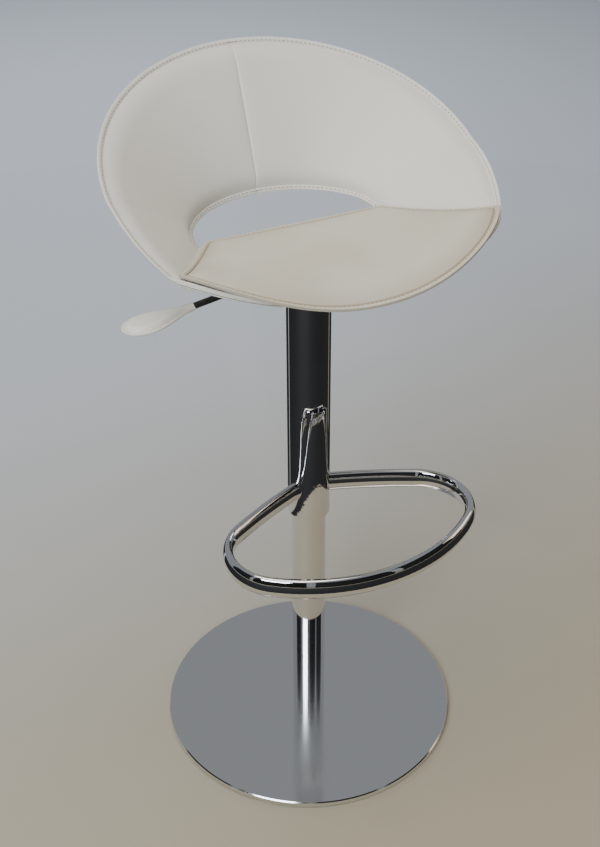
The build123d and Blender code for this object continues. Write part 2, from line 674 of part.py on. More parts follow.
def make_spacer(x, y):
    """A washer between the seat plate and the lowest point of the arm above it."""
    around = [(x + dx, y + dy) for dx, dy in polar_spots(8, SPACER_DIAMETER)]
    low = min(pan_surface(px, py) for px, py in around)
    top = low - pan_thickness - SOFT_CLEARANCE - back_thickness
    bore = SEAT_SCREW_DIAMETER / 2 + SCREW_CLEARANCE
    return Pos(x, y, 0) * ring(SPACER_DIAMETER / 2, bore, top - plate_top, plate_top)


parts["plate_spacers"] = group(make_spacer(x, y) for x, y in screw_xy)
parts["seat_screws"] = group(screws)

for name, solid in parts.items():
    export_step(solid, f"parts/{name}.step")
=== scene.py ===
"""An adjustable swivel stool, dressed: sewn white leather, chrome, black steel.

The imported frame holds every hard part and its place. The leather pieces follow
the seat's own formulas, which SeatForm repeats in metres, so they lie exactly
where the plain solids under them lie.
"""

from __future__ import annotations

import logging
import math
from collections.abc import Iterable, Sequence
from dataclasses import dataclass, field
from enum import Enum
from functools import cached_property

import bmesh
import bpy
import numpy as np
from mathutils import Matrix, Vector
from mathutils.geometry import delaunay_2d_cdt


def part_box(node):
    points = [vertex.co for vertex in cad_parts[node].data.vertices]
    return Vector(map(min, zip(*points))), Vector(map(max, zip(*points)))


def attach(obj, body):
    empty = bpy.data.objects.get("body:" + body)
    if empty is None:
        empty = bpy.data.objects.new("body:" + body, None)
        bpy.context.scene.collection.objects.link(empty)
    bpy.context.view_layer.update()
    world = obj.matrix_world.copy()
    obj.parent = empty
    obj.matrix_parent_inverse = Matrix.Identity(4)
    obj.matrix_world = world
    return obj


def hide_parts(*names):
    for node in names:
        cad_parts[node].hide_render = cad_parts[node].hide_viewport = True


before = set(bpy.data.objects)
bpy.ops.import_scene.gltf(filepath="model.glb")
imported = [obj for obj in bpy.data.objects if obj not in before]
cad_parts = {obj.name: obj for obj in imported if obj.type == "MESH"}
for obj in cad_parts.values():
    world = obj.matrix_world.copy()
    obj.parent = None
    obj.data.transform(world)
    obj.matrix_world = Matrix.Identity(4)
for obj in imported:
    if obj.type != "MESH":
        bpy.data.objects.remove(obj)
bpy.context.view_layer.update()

MM = 0.001
LOG = logging.getLogger("stool")
PLATE_TO_SEAT = 31.9 * MM
Colour = tuple[float, float, float]


# ---- Small tools ----------------------------------------------------------------


def smoothstep(low: float, high: float, value: np.ndarray | float) -> np.ndarray:
    """A smooth rise from 0 to 1.

    Args:
        low: Where the rise starts.
        high: Where it ends.
        value: The values to place on it.

    Returns:
        The rise at each value.
    """
    share = np.clip((np.asarray(value, dtype=float) - low) / (high - low), 0.0, 1.0)
    return share * share * (3.0 - 2.0 * share)


def distance_in_plan(places: np.ndarray, line: np.ndarray) -> np.ndarray:
    """Distances from places to a broken line, in plan.

    Args:
        places: The places, one XY pair a row.
        line: The line's points in order, one XY pair a row.

    Returns:
        One distance for each place.
    """
    starts, spans = line[:-1], np.diff(line, axis=0)
    away = places[:, None, :] - starts[None]
    share = np.clip((away * spans).sum(2) / (spans**2).sum(1), 0.0, 1.0)
    return np.sqrt(((away - share[..., None] * spans) ** 2).sum(2).min(1))


def evenly(line: np.ndarray, spacing: float) -> np.ndarray:
    """Points at an even spacing along a closed line.

    Args:
        line: The line's points, with the first repeated at the end.
        spacing: The wanted distance between points.

    Returns:
        The new points, with none repeated.
    """
    run = np.concatenate([[0.0], np.cumsum(np.linalg.norm(np.diff(line, axis=0), axis=1))])
    count = max(8, round(run[-1] / spacing))
    stops = np.arange(count) * run[-1] / count
    return np.stack([np.interp(stops, run, line[:, axis]) for axis in (0, 1)], axis=1)


def inset_points(loop: np.ndarray, inset: float) -> np.ndarray:
    """A closed loop, anticlockwise, moved inwards along its normals.

    Args:
        loop: The loop's points.
        inset: How far to move them.

    Returns:
        The moved points that are still that far from the loop.
    """
    along = np.roll(loop, -1, axis=0) - np.roll(loop, 1, axis=0)
    along /= np.linalg.norm(along, axis=1)[:, None]
    moved = loop + inset * np.stack([-along[:, 1], along[:, 0]], axis=1)
    kept = distance_in_plan(moved, np.vstack([loop, loop[:1]])) > inset * 0.98 - 0.01 * MM
    return moved[kept]


def new_object(name: str, mesh: bpy.types.Mesh) -> bpy.types.Object:
    """An object for a mesh, linked to the scene.

    Args:
        name: The object's name.
        mesh: Its mesh.

    Returns:
        The new object.
    """
    piece = bpy.data.objects.new(name, mesh)
    bpy.context.scene.collection.objects.link(piece)
    return piece


# ---- Shader tools ---------------------------------------------------------------


class Graph:
    """A node tree that is written as a short list of nodes and links."""

    def __init__(self, tree: bpy.types.NodeTree) -> None:
        """Takes over a tree.

        Args:
            tree: A material's tree or a node group.
        """
        self.tree = tree

    def add(self, kind: str, **values: object) -> bpy.types.Node:
        """Adds a node.

        Args:
            kind: The node's type.
            values: Properties of the node, or links and numbers for its inputs.

        Returns:
            The node.
        """
        node = self.tree.nodes.new(kind)
        inputs: dict[str, object] = {}
        for key, value in values.items():
            if hasattr(node, key):
                setattr(node, key, value)
            else:
                inputs[key] = value
        for key, value in inputs.items():
            self.feed(node, key, value)
        return node

    def feed(self, node: bpy.types.Node, key: str, value: object) -> None:
        """Links or sets one input.

        Args:
            node: The node.
            key: The input's name with underscores, or its number after "i".
            value: An output socket, or a plain value.
        """
        if key[0] == "i" and key[1:].isdigit():
            socket = node.inputs[int(key[1:])]
        else:
            socket = node.inputs[key.replace("_", " ")]
        if isinstance(value, bpy.types.NodeSocket):
            self.tree.links.new(value, socket)
        else:
            socket.default_value = value

    def math(self, operation: str, first: object, second: object = 0.0) -> bpy.types.NodeSocket:
        """Adds a Math node.

        Args:
            operation: What it does.
            first: Its first value.
            second: Its second value.

        Returns:
            Its output.
        """
        return self.add("ShaderNodeMath", operation=operation, i0=first, i1=second).outputs[0]

    def spread(self, value: object, low: object, high: object) -> bpy.types.NodeSocket:
        """Maps a value from 0 to 1 onto a range.

        Args:
            value: The value.
            low: What 0 becomes.
            high: What 1 becomes.

        Returns:
            The mapped value.
        """
        return self.add("ShaderNodeMapRange", Value=value, To_Min=low, To_Max=high).outputs[0]

    def blend(self, share: object, first: object, second: object) -> bpy.types.NodeSocket:
        """Mixes two colours.

        Args:
            share: How much of the second shows.
            first: The first colour.
            second: The second colour.

        Returns:
            The mixed colour.
        """
        node = self.add("ShaderNodeMix", data_type="RGBA")
        for number, value in ((0, share), (6, first), (7, second)):
            self.feed(node, f"i{number}", value)
        return node.outputs[2]


def opaque(colour: Colour) -> tuple[float, float, float, float]:
    """A colour with its alpha."""
    return (*colour, 1.0)


class Effects:
    """The node groups that several finishes share."""

    FLOAT = "NodeSocketFloat"
    VECTOR = "NodeSocketVector"
    COLOUR = "NodeSocketColor"

    def group(
        self, name: str, inputs: dict[str, str], outputs: dict[str, str]
    ) -> tuple[bpy.types.NodeTree, Graph, bpy.types.Node, bpy.types.Node]:
        """Starts a node group with named sockets.

        Args:
            name: The group's name.
            inputs: Each input's name and type.
            outputs: Each output's name and type.

        Returns:
            The tree, its graph, its input node and its output node.
        """
        tree = bpy.data.node_groups.new(name, "ShaderNodeTree")
        for way, sockets in (("INPUT", inputs), ("OUTPUT", outputs)):
            for socket, kind in sockets.items():
                tree.interface.new_socket(socket, in_out=way, socket_type=kind)
        graph = Graph(tree)
        return tree, graph, graph.add("NodeGroupInput"), graph.add("NodeGroupOutput")

    @cached_property
    def drift(self) -> bpy.types.NodeTree:
        """A slow drift between two tones, as dye and handling leave."""
        tree, graph, start, end = self.group(
            "Tone Drift",
            {"Vector": self.VECTOR, "Scale": self.FLOAT, "Light": self.COLOUR, "Dark": self.COLOUR},
            {"Color": self.COLOUR, "Mask": self.FLOAT},
        )
        broad = graph.add("ShaderNodeTexNoise", Vector=start.outputs["Vector"],
                          Scale=start.outputs["Scale"], Detail=4.0, Roughness=0.55)
        mask = graph.add("ShaderNodeMapRange", Value=broad.outputs[0],
                         From_Min=0.3, From_Max=0.7, interpolation_type="SMOOTHSTEP").outputs[0]
        tone = graph.blend(mask, start.outputs["Light"], start.outputs["Dark"])
        graph.feed(end, "Color", tone)
        graph.feed(end, "Mask", mask)
        return tree

    @cached_property
    def grain(self) -> bpy.types.NodeTree:
        """Pebbled grain: low cells, with fine pores and soft creases between them."""
        tree, graph, start, end = self.group(
            "Pebbled Grain",
            {"Vector": self.VECTOR, "Scale": self.FLOAT, "Crease": self.FLOAT},
            {"Height": self.FLOAT, "Pores": self.FLOAT},
        )
        place, scale = start.outputs["Vector"], start.outputs["Scale"]
        warp = graph.add("ShaderNodeTexNoise", Vector=place, Scale=scale, Detail=2.0)
        bent = graph.add("ShaderNodeVectorMath", operation="MULTIPLY_ADD", i0=warp.outputs["Color"],
                         i1=(0.0008, 0.0008, 0.0008), i2=place)
        cells = graph.add("ShaderNodeTexVoronoi", Vector=bent.outputs[0], Scale=scale,
                          feature="SMOOTH_F1", Smoothness=0.35)
        pores = graph.add("ShaderNodeTexNoise", Vector=place,
                          Scale=graph.math("MULTIPLY", scale, 2.7), Detail=3.0)
        crease_scale = graph.math("MULTIPLY", scale, 0.045)
        crease = graph.add("ShaderNodeTexNoise", Vector=place, Scale=crease_scale, Detail=3.0)
        dome = graph.math("SUBTRACT", 1.0, cells.outputs["Distance"])
        fine = graph.math("MULTIPLY", pores.outputs[0], 0.35)
        slow = graph.math("MULTIPLY", crease.outputs[0], start.outputs["Crease"])
        graph.feed(end, "Height", graph.math("ADD", graph.math("ADD", dome, fine), slow))
        graph.feed(end, "Pores", pores.outputs[0])
        return tree

    @cached_property
    def polish(self) -> bpy.types.NodeTree:
        """Polish marks: fine hairlines one way, and slow smears of handling."""
        tree, graph, start, end = self.group(
            "Polish Marks",
            {"Vector": self.VECTOR, "Stretch": self.VECTOR, "Clean": self.FLOAT, "Smeared": self.FLOAT},
            {"Roughness": self.FLOAT, "Height": self.FLOAT},
        )
        stretched = graph.add("ShaderNodeVectorMath", operation="MULTIPLY",
                              i0=start.outputs["Vector"], i1=start.outputs["Stretch"])
        lines = graph.add("ShaderNodeTexNoise", Vector=stretched.outputs[0], Scale=1.0, Detail=5.0,
                          Roughness=0.7)
        smear = graph.add("ShaderNodeTexNoise", Vector=start.outputs["Vector"], Scale=11.0,
                          Detail=5.0, Distortion=0.6)
        patches = graph.add("ShaderNodeMapRange", Value=smear.outputs[0], From_Min=0.45,
                            From_Max=0.75, interpolation_type="SMOOTHSTEP").outputs[0]
        mixed = graph.math("MULTIPLY", graph.math("ADD", patches, lines.outputs[0]), 0.5)
        rough = graph.spread(mixed, start.outputs["Clean"], start.outputs["Smeared"])
        graph.feed(end, "Roughness", rough)
        graph.feed(end, "Height", lines.outputs[0])
        return tree


EFFECTS = Effects()


class Finish:
    """A finish that makes one material, with the shared ways to dress it."""

    label: str

    def fill(self, graph: Graph, surface: bpy.types.Node, place: bpy.types.NodeSocket) -> None:
        """Sets the surface. Each finish has its own.

        Args:
            graph: The material's graph.
            surface: Its Principled BSDF.
            place: The piece's own coordinates.
        """
        raise NotImplementedError

    def material(self) -> bpy.types.Material:
        """Hands out the material of this name, and builds it where there is none.

        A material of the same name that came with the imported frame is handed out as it
        came, so the finish is not in it.

        Returns:
            The material.
        """
        found = bpy.data.materials.get(self.label)
        if found:
            return found
        material = bpy.data.materials.new(self.label)
        material.use_nodes = True
        graph = Graph(material.node_tree)
        surface = material.node_tree.nodes["Principled BSDF"]
        place = graph.add("ShaderNodeTexCoord").outputs["Object"]
        self.fill(graph, surface, place)
        return material

    def shared(self, graph: Graph, tree: bpy.types.NodeTree, **values: object) -> bpy.types.Node:
        """Places a shared effect in this material.

        Args:
            graph: The material's graph.
            tree: The effect's group.
            values: The group's inputs.

        Returns:
            The group node.
        """
        node = graph.add("ShaderNodeGroup", node_tree=tree)
        for key, value in values.items():
            graph.feed(node, key, value)
        return node

    def bump(self, graph: Graph, surface: bpy.types.Node, height: object, strength: float,
             distance: float, under: object = None) -> bpy.types.NodeSocket:
        """Adds a Bump node that feeds the surface's normal.

        Args:
            graph: The material's graph.
            surface: The Principled BSDF.
            height: The height to read.
            strength: How strong it looks.
            distance: The height's size in metres.
            under: The normal of a slower bump below this one.

        Returns:
            The normal.
        """
        node = graph.add("ShaderNodeBump", Strength=strength, Distance=distance, Height=height)
        if under is not None:
            graph.feed(node, "Normal", under)
        graph.feed(surface, "Normal", node.outputs[0])
        return node.outputs[0]


@dataclass(frozen=True)
class Leather(Finish):
    """Pigmented leather, with painted tan shade in its seams and along the rolls beside them, and some
    dust in the seams.
    """

    label: str = "white_leather"
    light: Colour = (0.83, 0.80, 0.72)
    dark: Colour = (0.765, 0.72, 0.61)
    # The seam tone is painted shade: the tan of the shade in seam valleys, at raw edges and along the
    # rolls, with some dust in the valleys.
    seam: Colour = (0.36, 0.26, 0.145)
    painted_shade_share: float = 0.92
    grain_scale: float = 820.0
    crease: float = 0.5
    smooth: float = 0.34
    rough: float = 0.50

    def fill(self, graph: Graph, surface: bpy.types.Node, place: bpy.types.NodeSocket) -> None:
        """Drifts the dye, paints tan shade into the seams and along the rolls, and raises the grain.

        Args:
            graph: The material's graph.
            surface: Its Principled BSDF.
            place: The piece's own coordinates.
        """
        drift = self.shared(graph, EFFECTS.drift, Vector=place, Scale=6.5,
                            Light=opaque(self.light), Dark=opaque(self.dark))
        grain = self.shared(graph, EFFECTS.grain, Vector=place, Scale=self.grain_scale,
                            Crease=self.crease)
        # The seam attribute says where tan shade is painted: seam valleys, raw edges, rolls and the
        # upright back seam.
        painted_shade_mark = graph.add("ShaderNodeAttribute", attribute_name="seam").outputs["Fac"]
        shade = graph.math("MULTIPLY", painted_shade_mark, self.painted_shade_share)
        tone = graph.blend(shade, drift.outputs["Color"], opaque(self.seam))
        graph.feed(surface, "Base Color", tone)
        pores = graph.math("MULTIPLY", graph.math("ADD", grain.outputs["Pores"],
                                                  drift.outputs["Mask"]), 0.5)
        graph.feed(surface, "Roughness", graph.spread(pores, self.smooth, self.rough))
        graph.feed(surface, "Specular IOR Level", 0.42)
        pull = graph.add("ShaderNodeTexNoise", Vector=place, Scale=24.0, Detail=2.0)
        slow = self.bump(graph, surface, pull.outputs[0], 0.25, 1.2 * MM)
        self.bump(graph, surface, grain.outputs["Height"], 0.28, 0.10 * MM, slow)


@dataclass(frozen=True)
class Thread(Finish):
    """Waxed sewing thread, with its twist."""

    label: str = "sewing_thread"
    light: Colour = (0.47, 0.35, 0.21)
    dark: Colour = (0.35, 0.25, 0.14)

    def fill(self, graph: Graph, surface: bpy.types.Node, place: bpy.types.NodeSocket) -> None:
        """Drifts the wax tone and raises the twist.

        Args:
            graph: The material's graph.
            surface: Its Principled BSDF.
            place: The piece's own coordinates.
        """
        drift = self.shared(graph, EFFECTS.drift, Vector=place, Scale=160.0,
                            Light=opaque(self.light), Dark=opaque(self.dark))
        graph.feed(surface, "Base Color", drift.outputs["Color"])
        graph.feed(surface, "Roughness", 0.62)
        twist = graph.add("ShaderNodeTexWave", Vector=place, Scale=900.0, Distortion=1.5)
        self.bump(graph, surface, twist.outputs["Fac"], 0.5, 0.15 * MM)


@dataclass(frozen=True)
class Chrome(Finish):
    """Bright plating over steel, with faint polish marks."""

    label: str = "polished_chrome"
    tone: Colour = (0.80, 0.80, 0.81)
    clean: float = 0.012
    smeared: float = 0.055
    stretch: Colour = (900.0, 900.0, 25.0)
    depth: float = 0.004

    def fill(self, graph: Graph, surface: bpy.types.Node, place: bpy.types.NodeSocket) -> None:
        """Plates the steel and lays faint polish marks over it.

        Args:
            graph: The material's graph.
            surface: Its Principled BSDF.
            place: The piece's own coordinates.
        """
        marks = self.shared(graph, EFFECTS.polish, Vector=place, Stretch=self.stretch,
                            Clean=self.clean, Smeared=self.smeared)
        dull = tuple(0.93 * part for part in self.tone)
        drift = self.shared(graph, EFFECTS.drift, Vector=place, Scale=9.0,
                            Light=opaque(self.tone), Dark=opaque(dull))
        graph.feed(surface, "Base Color", drift.outputs["Color"])
        graph.feed(surface, "Metallic", 1.0)
        graph.feed(surface, "Roughness", marks.outputs["Roughness"])
        self.bump(graph, surface, marks.outputs["Height"], 0.05, self.depth * MM)


@dataclass(frozen=True)
class CoatedSteel(Finish):
    """Black coating with the faint orange peel of a sprayed coat."""

    label: str = "black_steel"
    light: Colour = (0.026, 0.026, 0.028)
    dark: Colour = (0.014, 0.014, 0.015)
    smooth: float = 0.26
    rough: float = 0.42
    peel: float = 420.0

    def fill(self, graph: Graph, surface: bpy.types.Node, place: bpy.types.NodeSocket) -> None:
        """Drifts the black coat and raises its orange peel.

        Args:
            graph: The material's graph.
            surface: Its Principled BSDF.
            place: The piece's own coordinates.
        """
        drift = self.shared(graph, EFFECTS.drift, Vector=place, Scale=14.0,
                            Light=opaque(self.light), Dark=opaque(self.dark))
        marks = self.shared(graph, EFFECTS.polish, Vector=place, Stretch=(300.0, 300.0, 300.0),
                            Clean=self.smooth, Smeared=self.rough)
        graph.feed(surface, "Base Color", drift.outputs["Color"])
        graph.feed(surface, "Roughness", marks.outputs["Roughness"])
        peel = graph.add("ShaderNodeTexNoise", Vector=place, Scale=self.peel, Detail=1.0)
        self.bump(graph, surface, peel.outputs[0], 0.18, 0.12 * MM)


@dataclass(frozen=True)
class Moulded(Finish):
    """Moulded plastic or rubber, with a fine spark-eroded grain."""

    label: str = "black_nylon"
    light: Colour = (0.030, 0.030, 0.031)
    dark: Colour = (0.019, 0.019, 0.020)
    smooth: float = 0.44
    rough: float = 0.60
    grain_scale: float = 1500.0
    relief: float = 0.05

    def fill(self, graph: Graph, surface: bpy.types.Node, place: bpy.types.NodeSocket) -> None:
        """Drifts the tone and raises the mould's fine grain.

        Args:
            graph: The material's graph.
            surface: Its Principled BSDF.
            place: The piece's own coordinates.
        """
        drift = self.shared(graph, EFFECTS.drift, Vector=place, Scale=18.0,
                            Light=opaque(self.light), Dark=opaque(self.dark))
        grain = self.shared(graph, EFFECTS.grain, Vector=place, Scale=self.grain_scale, Crease=0.2)
        graph.feed(surface, "Base Color", drift.outputs["Color"])
        rough = graph.spread(grain.outputs["Pores"], self.smooth, self.rough)
        graph.feed(surface, "Roughness", rough)
        self.bump(graph, surface, grain.outputs["Height"], 0.4, self.relief * MM)


@dataclass(frozen=True)
class Studio(Finish):
    """The plain pale floor, barely mottled."""

    label: str = "studio_floor"
    light: Colour = (0.50, 0.44, 0.325)
    dark: Colour = (0.475, 0.415, 0.30)
    far: Colour = (0.64, 0.675, 0.72)
    fade: tuple[float, float] = (-0.3, 1.5)

    def fill(self, graph: Graph, surface: bpy.types.Node, place: bpy.types.NodeSocket) -> None:
        """Mottles the near floor and fades it into the cool far floor.

        Args:
            graph: The material's graph.
            surface: Its Principled BSDF.
            place: The piece's own coordinates.
        """
        drift = self.shared(graph, EFFECTS.drift, Vector=place, Scale=0.8,
                            Light=opaque(self.light), Dark=opaque(self.dark))
        depth = graph.add("ShaderNodeSeparateXYZ", Vector=place).outputs["Y"]
        away = graph.add("ShaderNodeMapRange", Value=depth, From_Min=self.fade[0],
                         From_Max=self.fade[1], interpolation_type="SMOOTHSTEP").outputs[0]
        tone = graph.blend(away, drift.outputs["Color"], opaque(self.far))
        graph.feed(surface, "Base Color", tone)
        graph.feed(surface, "Roughness", 0.75)


@dataclass(frozen=True)
class Flat(Finish):
    """A plain tone for the dark cards that the chrome mirrors."""

    label: str = "studio_card"
    tone: Colour = (0.012, 0.012, 0.013)

    def fill(self, graph: Graph, surface: bpy.types.Node, place: bpy.types.NodeSocket) -> None:
        """Paints the card in one matt tone.

        Args:
            graph: The material's graph.
            surface: Its Principled BSDF.
            place: The piece's own coordinates.
        """
        graph.feed(surface, "Base Color", opaque(self.tone))
        graph.feed(surface, "Roughness", 0.9)


WHITE_LEATHER = Leather()
# The pan is the same white leather as the back; this warmer copy paints in the warm light bounced onto
# the pan.
WARM_LIT_PAN_LEATHER = Leather(label="pan_leather", light=(0.81, 0.765, 0.655), dark=(0.74, 0.68, 0.545))
LINING_LEATHER = Leather(label="lining_leather", light=(0.74, 0.735, 0.71),
                         dark=(0.68, 0.67, 0.64), grain_scale=640.0, smooth=0.46, rough=0.62)
THREAD = Thread()
# The needle holes are painted shade: dark brown dots where the shade inside each hole falls.
NEEDLE_HOLE_SHADE = Moulded(label="needle_hole_shade", light=(0.10, 0.07, 0.045), dark=(0.06, 0.04, 0.03),
                      smooth=0.8, rough=0.95)
TUBE_CHROME = Chrome()
PLATE_POLISH = Chrome(label="polished_base", tone=(0.80, 0.775, 0.72), clean=0.006,
                      smeared=0.035, stretch=(30.0, 900.0, 900.0))
ZINC_STEEL = Chrome(label="zinc_steel", tone=(0.58, 0.58, 0.56), clean=0.26, smeared=0.42,
                    stretch=(700.0, 700.0, 60.0), depth=0.03)
BLACK_STEEL = CoatedSteel()
PRESSED_STEEL = CoatedSteel(label="pressed_steel", light=(0.034, 0.034, 0.036),
                            smooth=0.38, rough=0.52, peel=260.0)
SHELL_PLASTIC = Moulded(label="shell_plastic", light=(0.05, 0.05, 0.052), grain_scale=900.0)
BLACK_NYLON = Moulded()
BLACK_RUBBER = Moulded(label="black_rubber", light=(0.022, 0.021, 0.021), smooth=0.70, rough=0.86,
                       grain_scale=700.0, relief=0.10)


def dress(node: str, finish: Finish) -> None:
    """Gives a CAD part its finish.

    Args:
        node: The part's node name.
        finish: The finish.
    """
    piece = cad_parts[node]
    for place in piece.material_slots:
        place.material = finish.material()
    LOG.info("dressed %s in %s", node, finish.label)


# ---- The seat's form ------------------------------------------------------------


@dataclass(frozen=True)
class SeatForm:
    """The seat's shape: a pan that rises to both sides, and a band swung up behind it."""

    seat_z: float
    pan_half_width: float = 246.0 * MM
    pan_front_depth: float = 203.0 * MM
    centre_y: float = 12.0 * MM
    squareness: float = 2.4
    rear_y: float = 38.0 * MM
    rear_half_width: float = 127.0 * MM
    rear_corner: float = 16.0 * MM
    fold_angle: float = 120.0
    front_drop: float = 14.0 * MM
    side_rise: float = 0.27
    rise_half_width: float = 216.0 * MM
    pan_thickness: float = 10.5 * MM
    clearance: float = 0.4 * MM
    back_beyond_pan: float = 2.5 * MM
    back_rear_depth: float = 203.0 * MM
    back_rise: float = 188.0 * MM
    opening_beyond_pan: float = 4.0 * MM
    opening_depth: float = 105.0 * MM
    low_edge_rise: float = -2.0 * MM
    arm_end_angle: float = 162.0
    arm_sweep: float = 76.0
    arm_depth: float = 70.0 * MM
    arm_front_tuck: float = 0.18
    turn_angle: float = 84.0
    bow_power: int = 4

    def pan_z(self, x: np.ndarray | float, y: np.ndarray | float) -> np.ndarray | float:
        """Height of the pan's top.

        Args:
            x: Across.
            y: Forwards is negative.

        Returns:
            The height.
        """
        forward = self.rear_y - y
        full = self.rear_y - self.centre_y + self.pan_front_depth
        rise = self.side_rise * forward * (x / self.rise_half_width) ** 2
        return self.seat_z - self.front_drop * (forward / full) ** 2 + rise

    def rim_xy(self, angle: float, half_width: float, front: float, rear: float) -> tuple[float, float]:
        """A point in plan on the seat's outline.

        Args:
            angle: 0 is the rear and 180 the front.
            half_width: Half of the outline's width.
            front: Its depth forwards.
            rear: Its depth to the rear.

        Returns:
            The point.
        """
        turn = math.radians(angle)
        if math.cos(turn) >= 0:
            return half_width * math.sin(turn), self.centre_y + rear * math.cos(turn)
        power = 2 / self.squareness
        across = math.copysign(half_width * abs(math.sin(turn)) ** power, math.sin(turn))
        return across, self.centre_y - front * abs(math.cos(turn)) ** power

    def pan_outline(self) -> np.ndarray:
        """The pan's outline, anticlockwise from its right rear corner, first point repeated."""
        half, depth = self.pan_half_width, self.pan_front_depth
        steps = np.linspace(360.0 - self.fold_angle, self.fold_angle, 481)
        front = [self.rim_xy(angle, half, depth, depth) for angle in steps]
        right = np.array([self.rear_half_width, self.rear_y])
        kink = np.array(front[-1])
        corner = self.rounded(kink, right, np.array([-self.rear_half_width, self.rear_y]))
        mirrored = corner[::-1] * np.array([-1.0, 1.0])
        return np.vstack([corner, mirrored, front, corner[:1]])

    def rounded(self, before: np.ndarray, corner: np.ndarray, after: np.ndarray) -> np.ndarray:
        """The arc that rounds one of the rear corners.

        Args:
            before: A point on the side that comes first.
            corner: The corner.
            after: A point on the side that follows.

        Returns:
            The arc's points.
        """
        one = (before - corner) / np.linalg.norm(before - corner)
        two = (after - corner) / np.linalg.norm(after - corner)
        half = math.acos(float(one @ two)) / 2
        middle = corner + (one + two) / np.linalg.norm(one + two) * self.rear_corner / math.sin(half)
        foot = corner + one * self.rear_corner / math.tan(half) - middle
        sweep = math.pi - 2 * half
        turns = np.linspace(0.0, sweep, 13)
        return np.array([
            middle + (foot[0] * math.cos(t) - foot[1] * math.sin(t),
                      foot[0] * math.sin(t) + foot[1] * math.cos(t)) for t in turns
        ])

    def rim_z(self, angle: float, x: float, y: float) -> float:
        """Height of the band's rim.

        Args:
            angle: Where on the outline.
            x: The point's place across.
            y: The point's place along.

        Returns:
            The height.
        """
        if angle >= self.fold_angle:
            return self.pan_z(x, y) - self.pan_thickness - self.clearance
        fold = math.cos(math.radians(self.fold_angle))
        half = self.pan_half_width + self.back_beyond_pan
        front = self.pan_front_depth + self.back_beyond_pan
        fold_z = self.rim_z(self.fold_angle, *self.rim_xy(self.fold_angle, half, front, 0.0))
        share = (math.cos(math.radians(angle)) - fold) / (1 - fold)
        return fold_z + share * (self.seat_z + self.back_rise - fold_z)

    def band_ends(self, angle: float) -> tuple[Vector, Vector]:
        """The lower and upper edge of the band's face.

        Args:
            angle: Where on the band.

        Returns:
            The two points.
        """
        share = (angle - self.fold_angle) / (self.arm_end_angle - self.fold_angle)
        if share <= 0:
            turn = math.radians(90.0 * angle / self.fold_angle)
            low_y = self.rear_y + self.opening_depth * math.cos(turn)
        else:
            turn = math.radians(90.0 + share * self.arm_sweep)
            low_y = self.rear_y + self.arm_depth * math.cos(turn)
        low_x = (self.rear_half_width + self.opening_beyond_pan) * math.sin(turn)
        low_z = self.pan_z(low_x, min(low_y, self.rear_y)) - self.pan_thickness - self.clearance
        low_z += max(0.0, math.cos(turn)) * (self.pan_thickness + self.low_edge_rise)
        shrink = 1.0 - self.arm_front_tuck * max(0.0, share) ** 2
        half = (self.pan_half_width + self.back_beyond_pan) * shrink
        front = (self.pan_front_depth + self.back_beyond_pan) * shrink
        x, y = self.rim_xy(angle, half, front, self.back_rear_depth)
        return Vector((low_x, low_y, low_z)), Vector((x, y, self.rim_z(angle, x, y)))

    def band_outward(self, angle: float) -> Vector:
        """The way the band's thickness grows.

        Args:
            angle: Where on the band.

        Returns:
            A direction away from the sitter, straight down under the pan.
        """
        low, high = self.band_ends(angle)
        before, after = self.band_ends(angle - 1), self.band_ends(angle + 1)
        along = after[0] + after[1] - before[0] - before[1]
        away = (high - low).cross(along).normalized()
        down = float(smoothstep(self.turn_angle, self.fold_angle, angle))
        return (away * (1 - down) - Vector((0, 0, down))).normalized()

    def band_point(self, angle: float, shares: Iterable[float]) -> tuple[np.ndarray, np.ndarray, float]:
        """Points of the band's face on one line from its lower to its upper edge.

        Args:
            angle: Where on the band, negative on the sitter's other side.
            shares: How far up the line each point is.

        Returns:
            The points, the way the thickness grows there, and the line's length.
        """
        size = abs(angle)
        low, high = self.band_ends(size)
        outward = self.band_outward(size)
        under_low, under_high = self.band_ends(max(size, self.fold_angle))
        bow = min(1.0, size / self.fold_angle) ** self.bow_power
        points = []
        for share in shares:
            place = under_low + (under_high - under_low) * share
            sag = place.z - self.pan_z(place.x, place.y) + self.pan_thickness + self.clearance
            points.append(low + (high - low) * share + outward * sag * bow)
        flip = np.array([math.copysign(1.0, angle), 1.0, 1.0])
        return np.array(points) * flip, np.array(outward) * flip, (high - low).length


# ---- Sewn leather ---------------------------------------------------------------


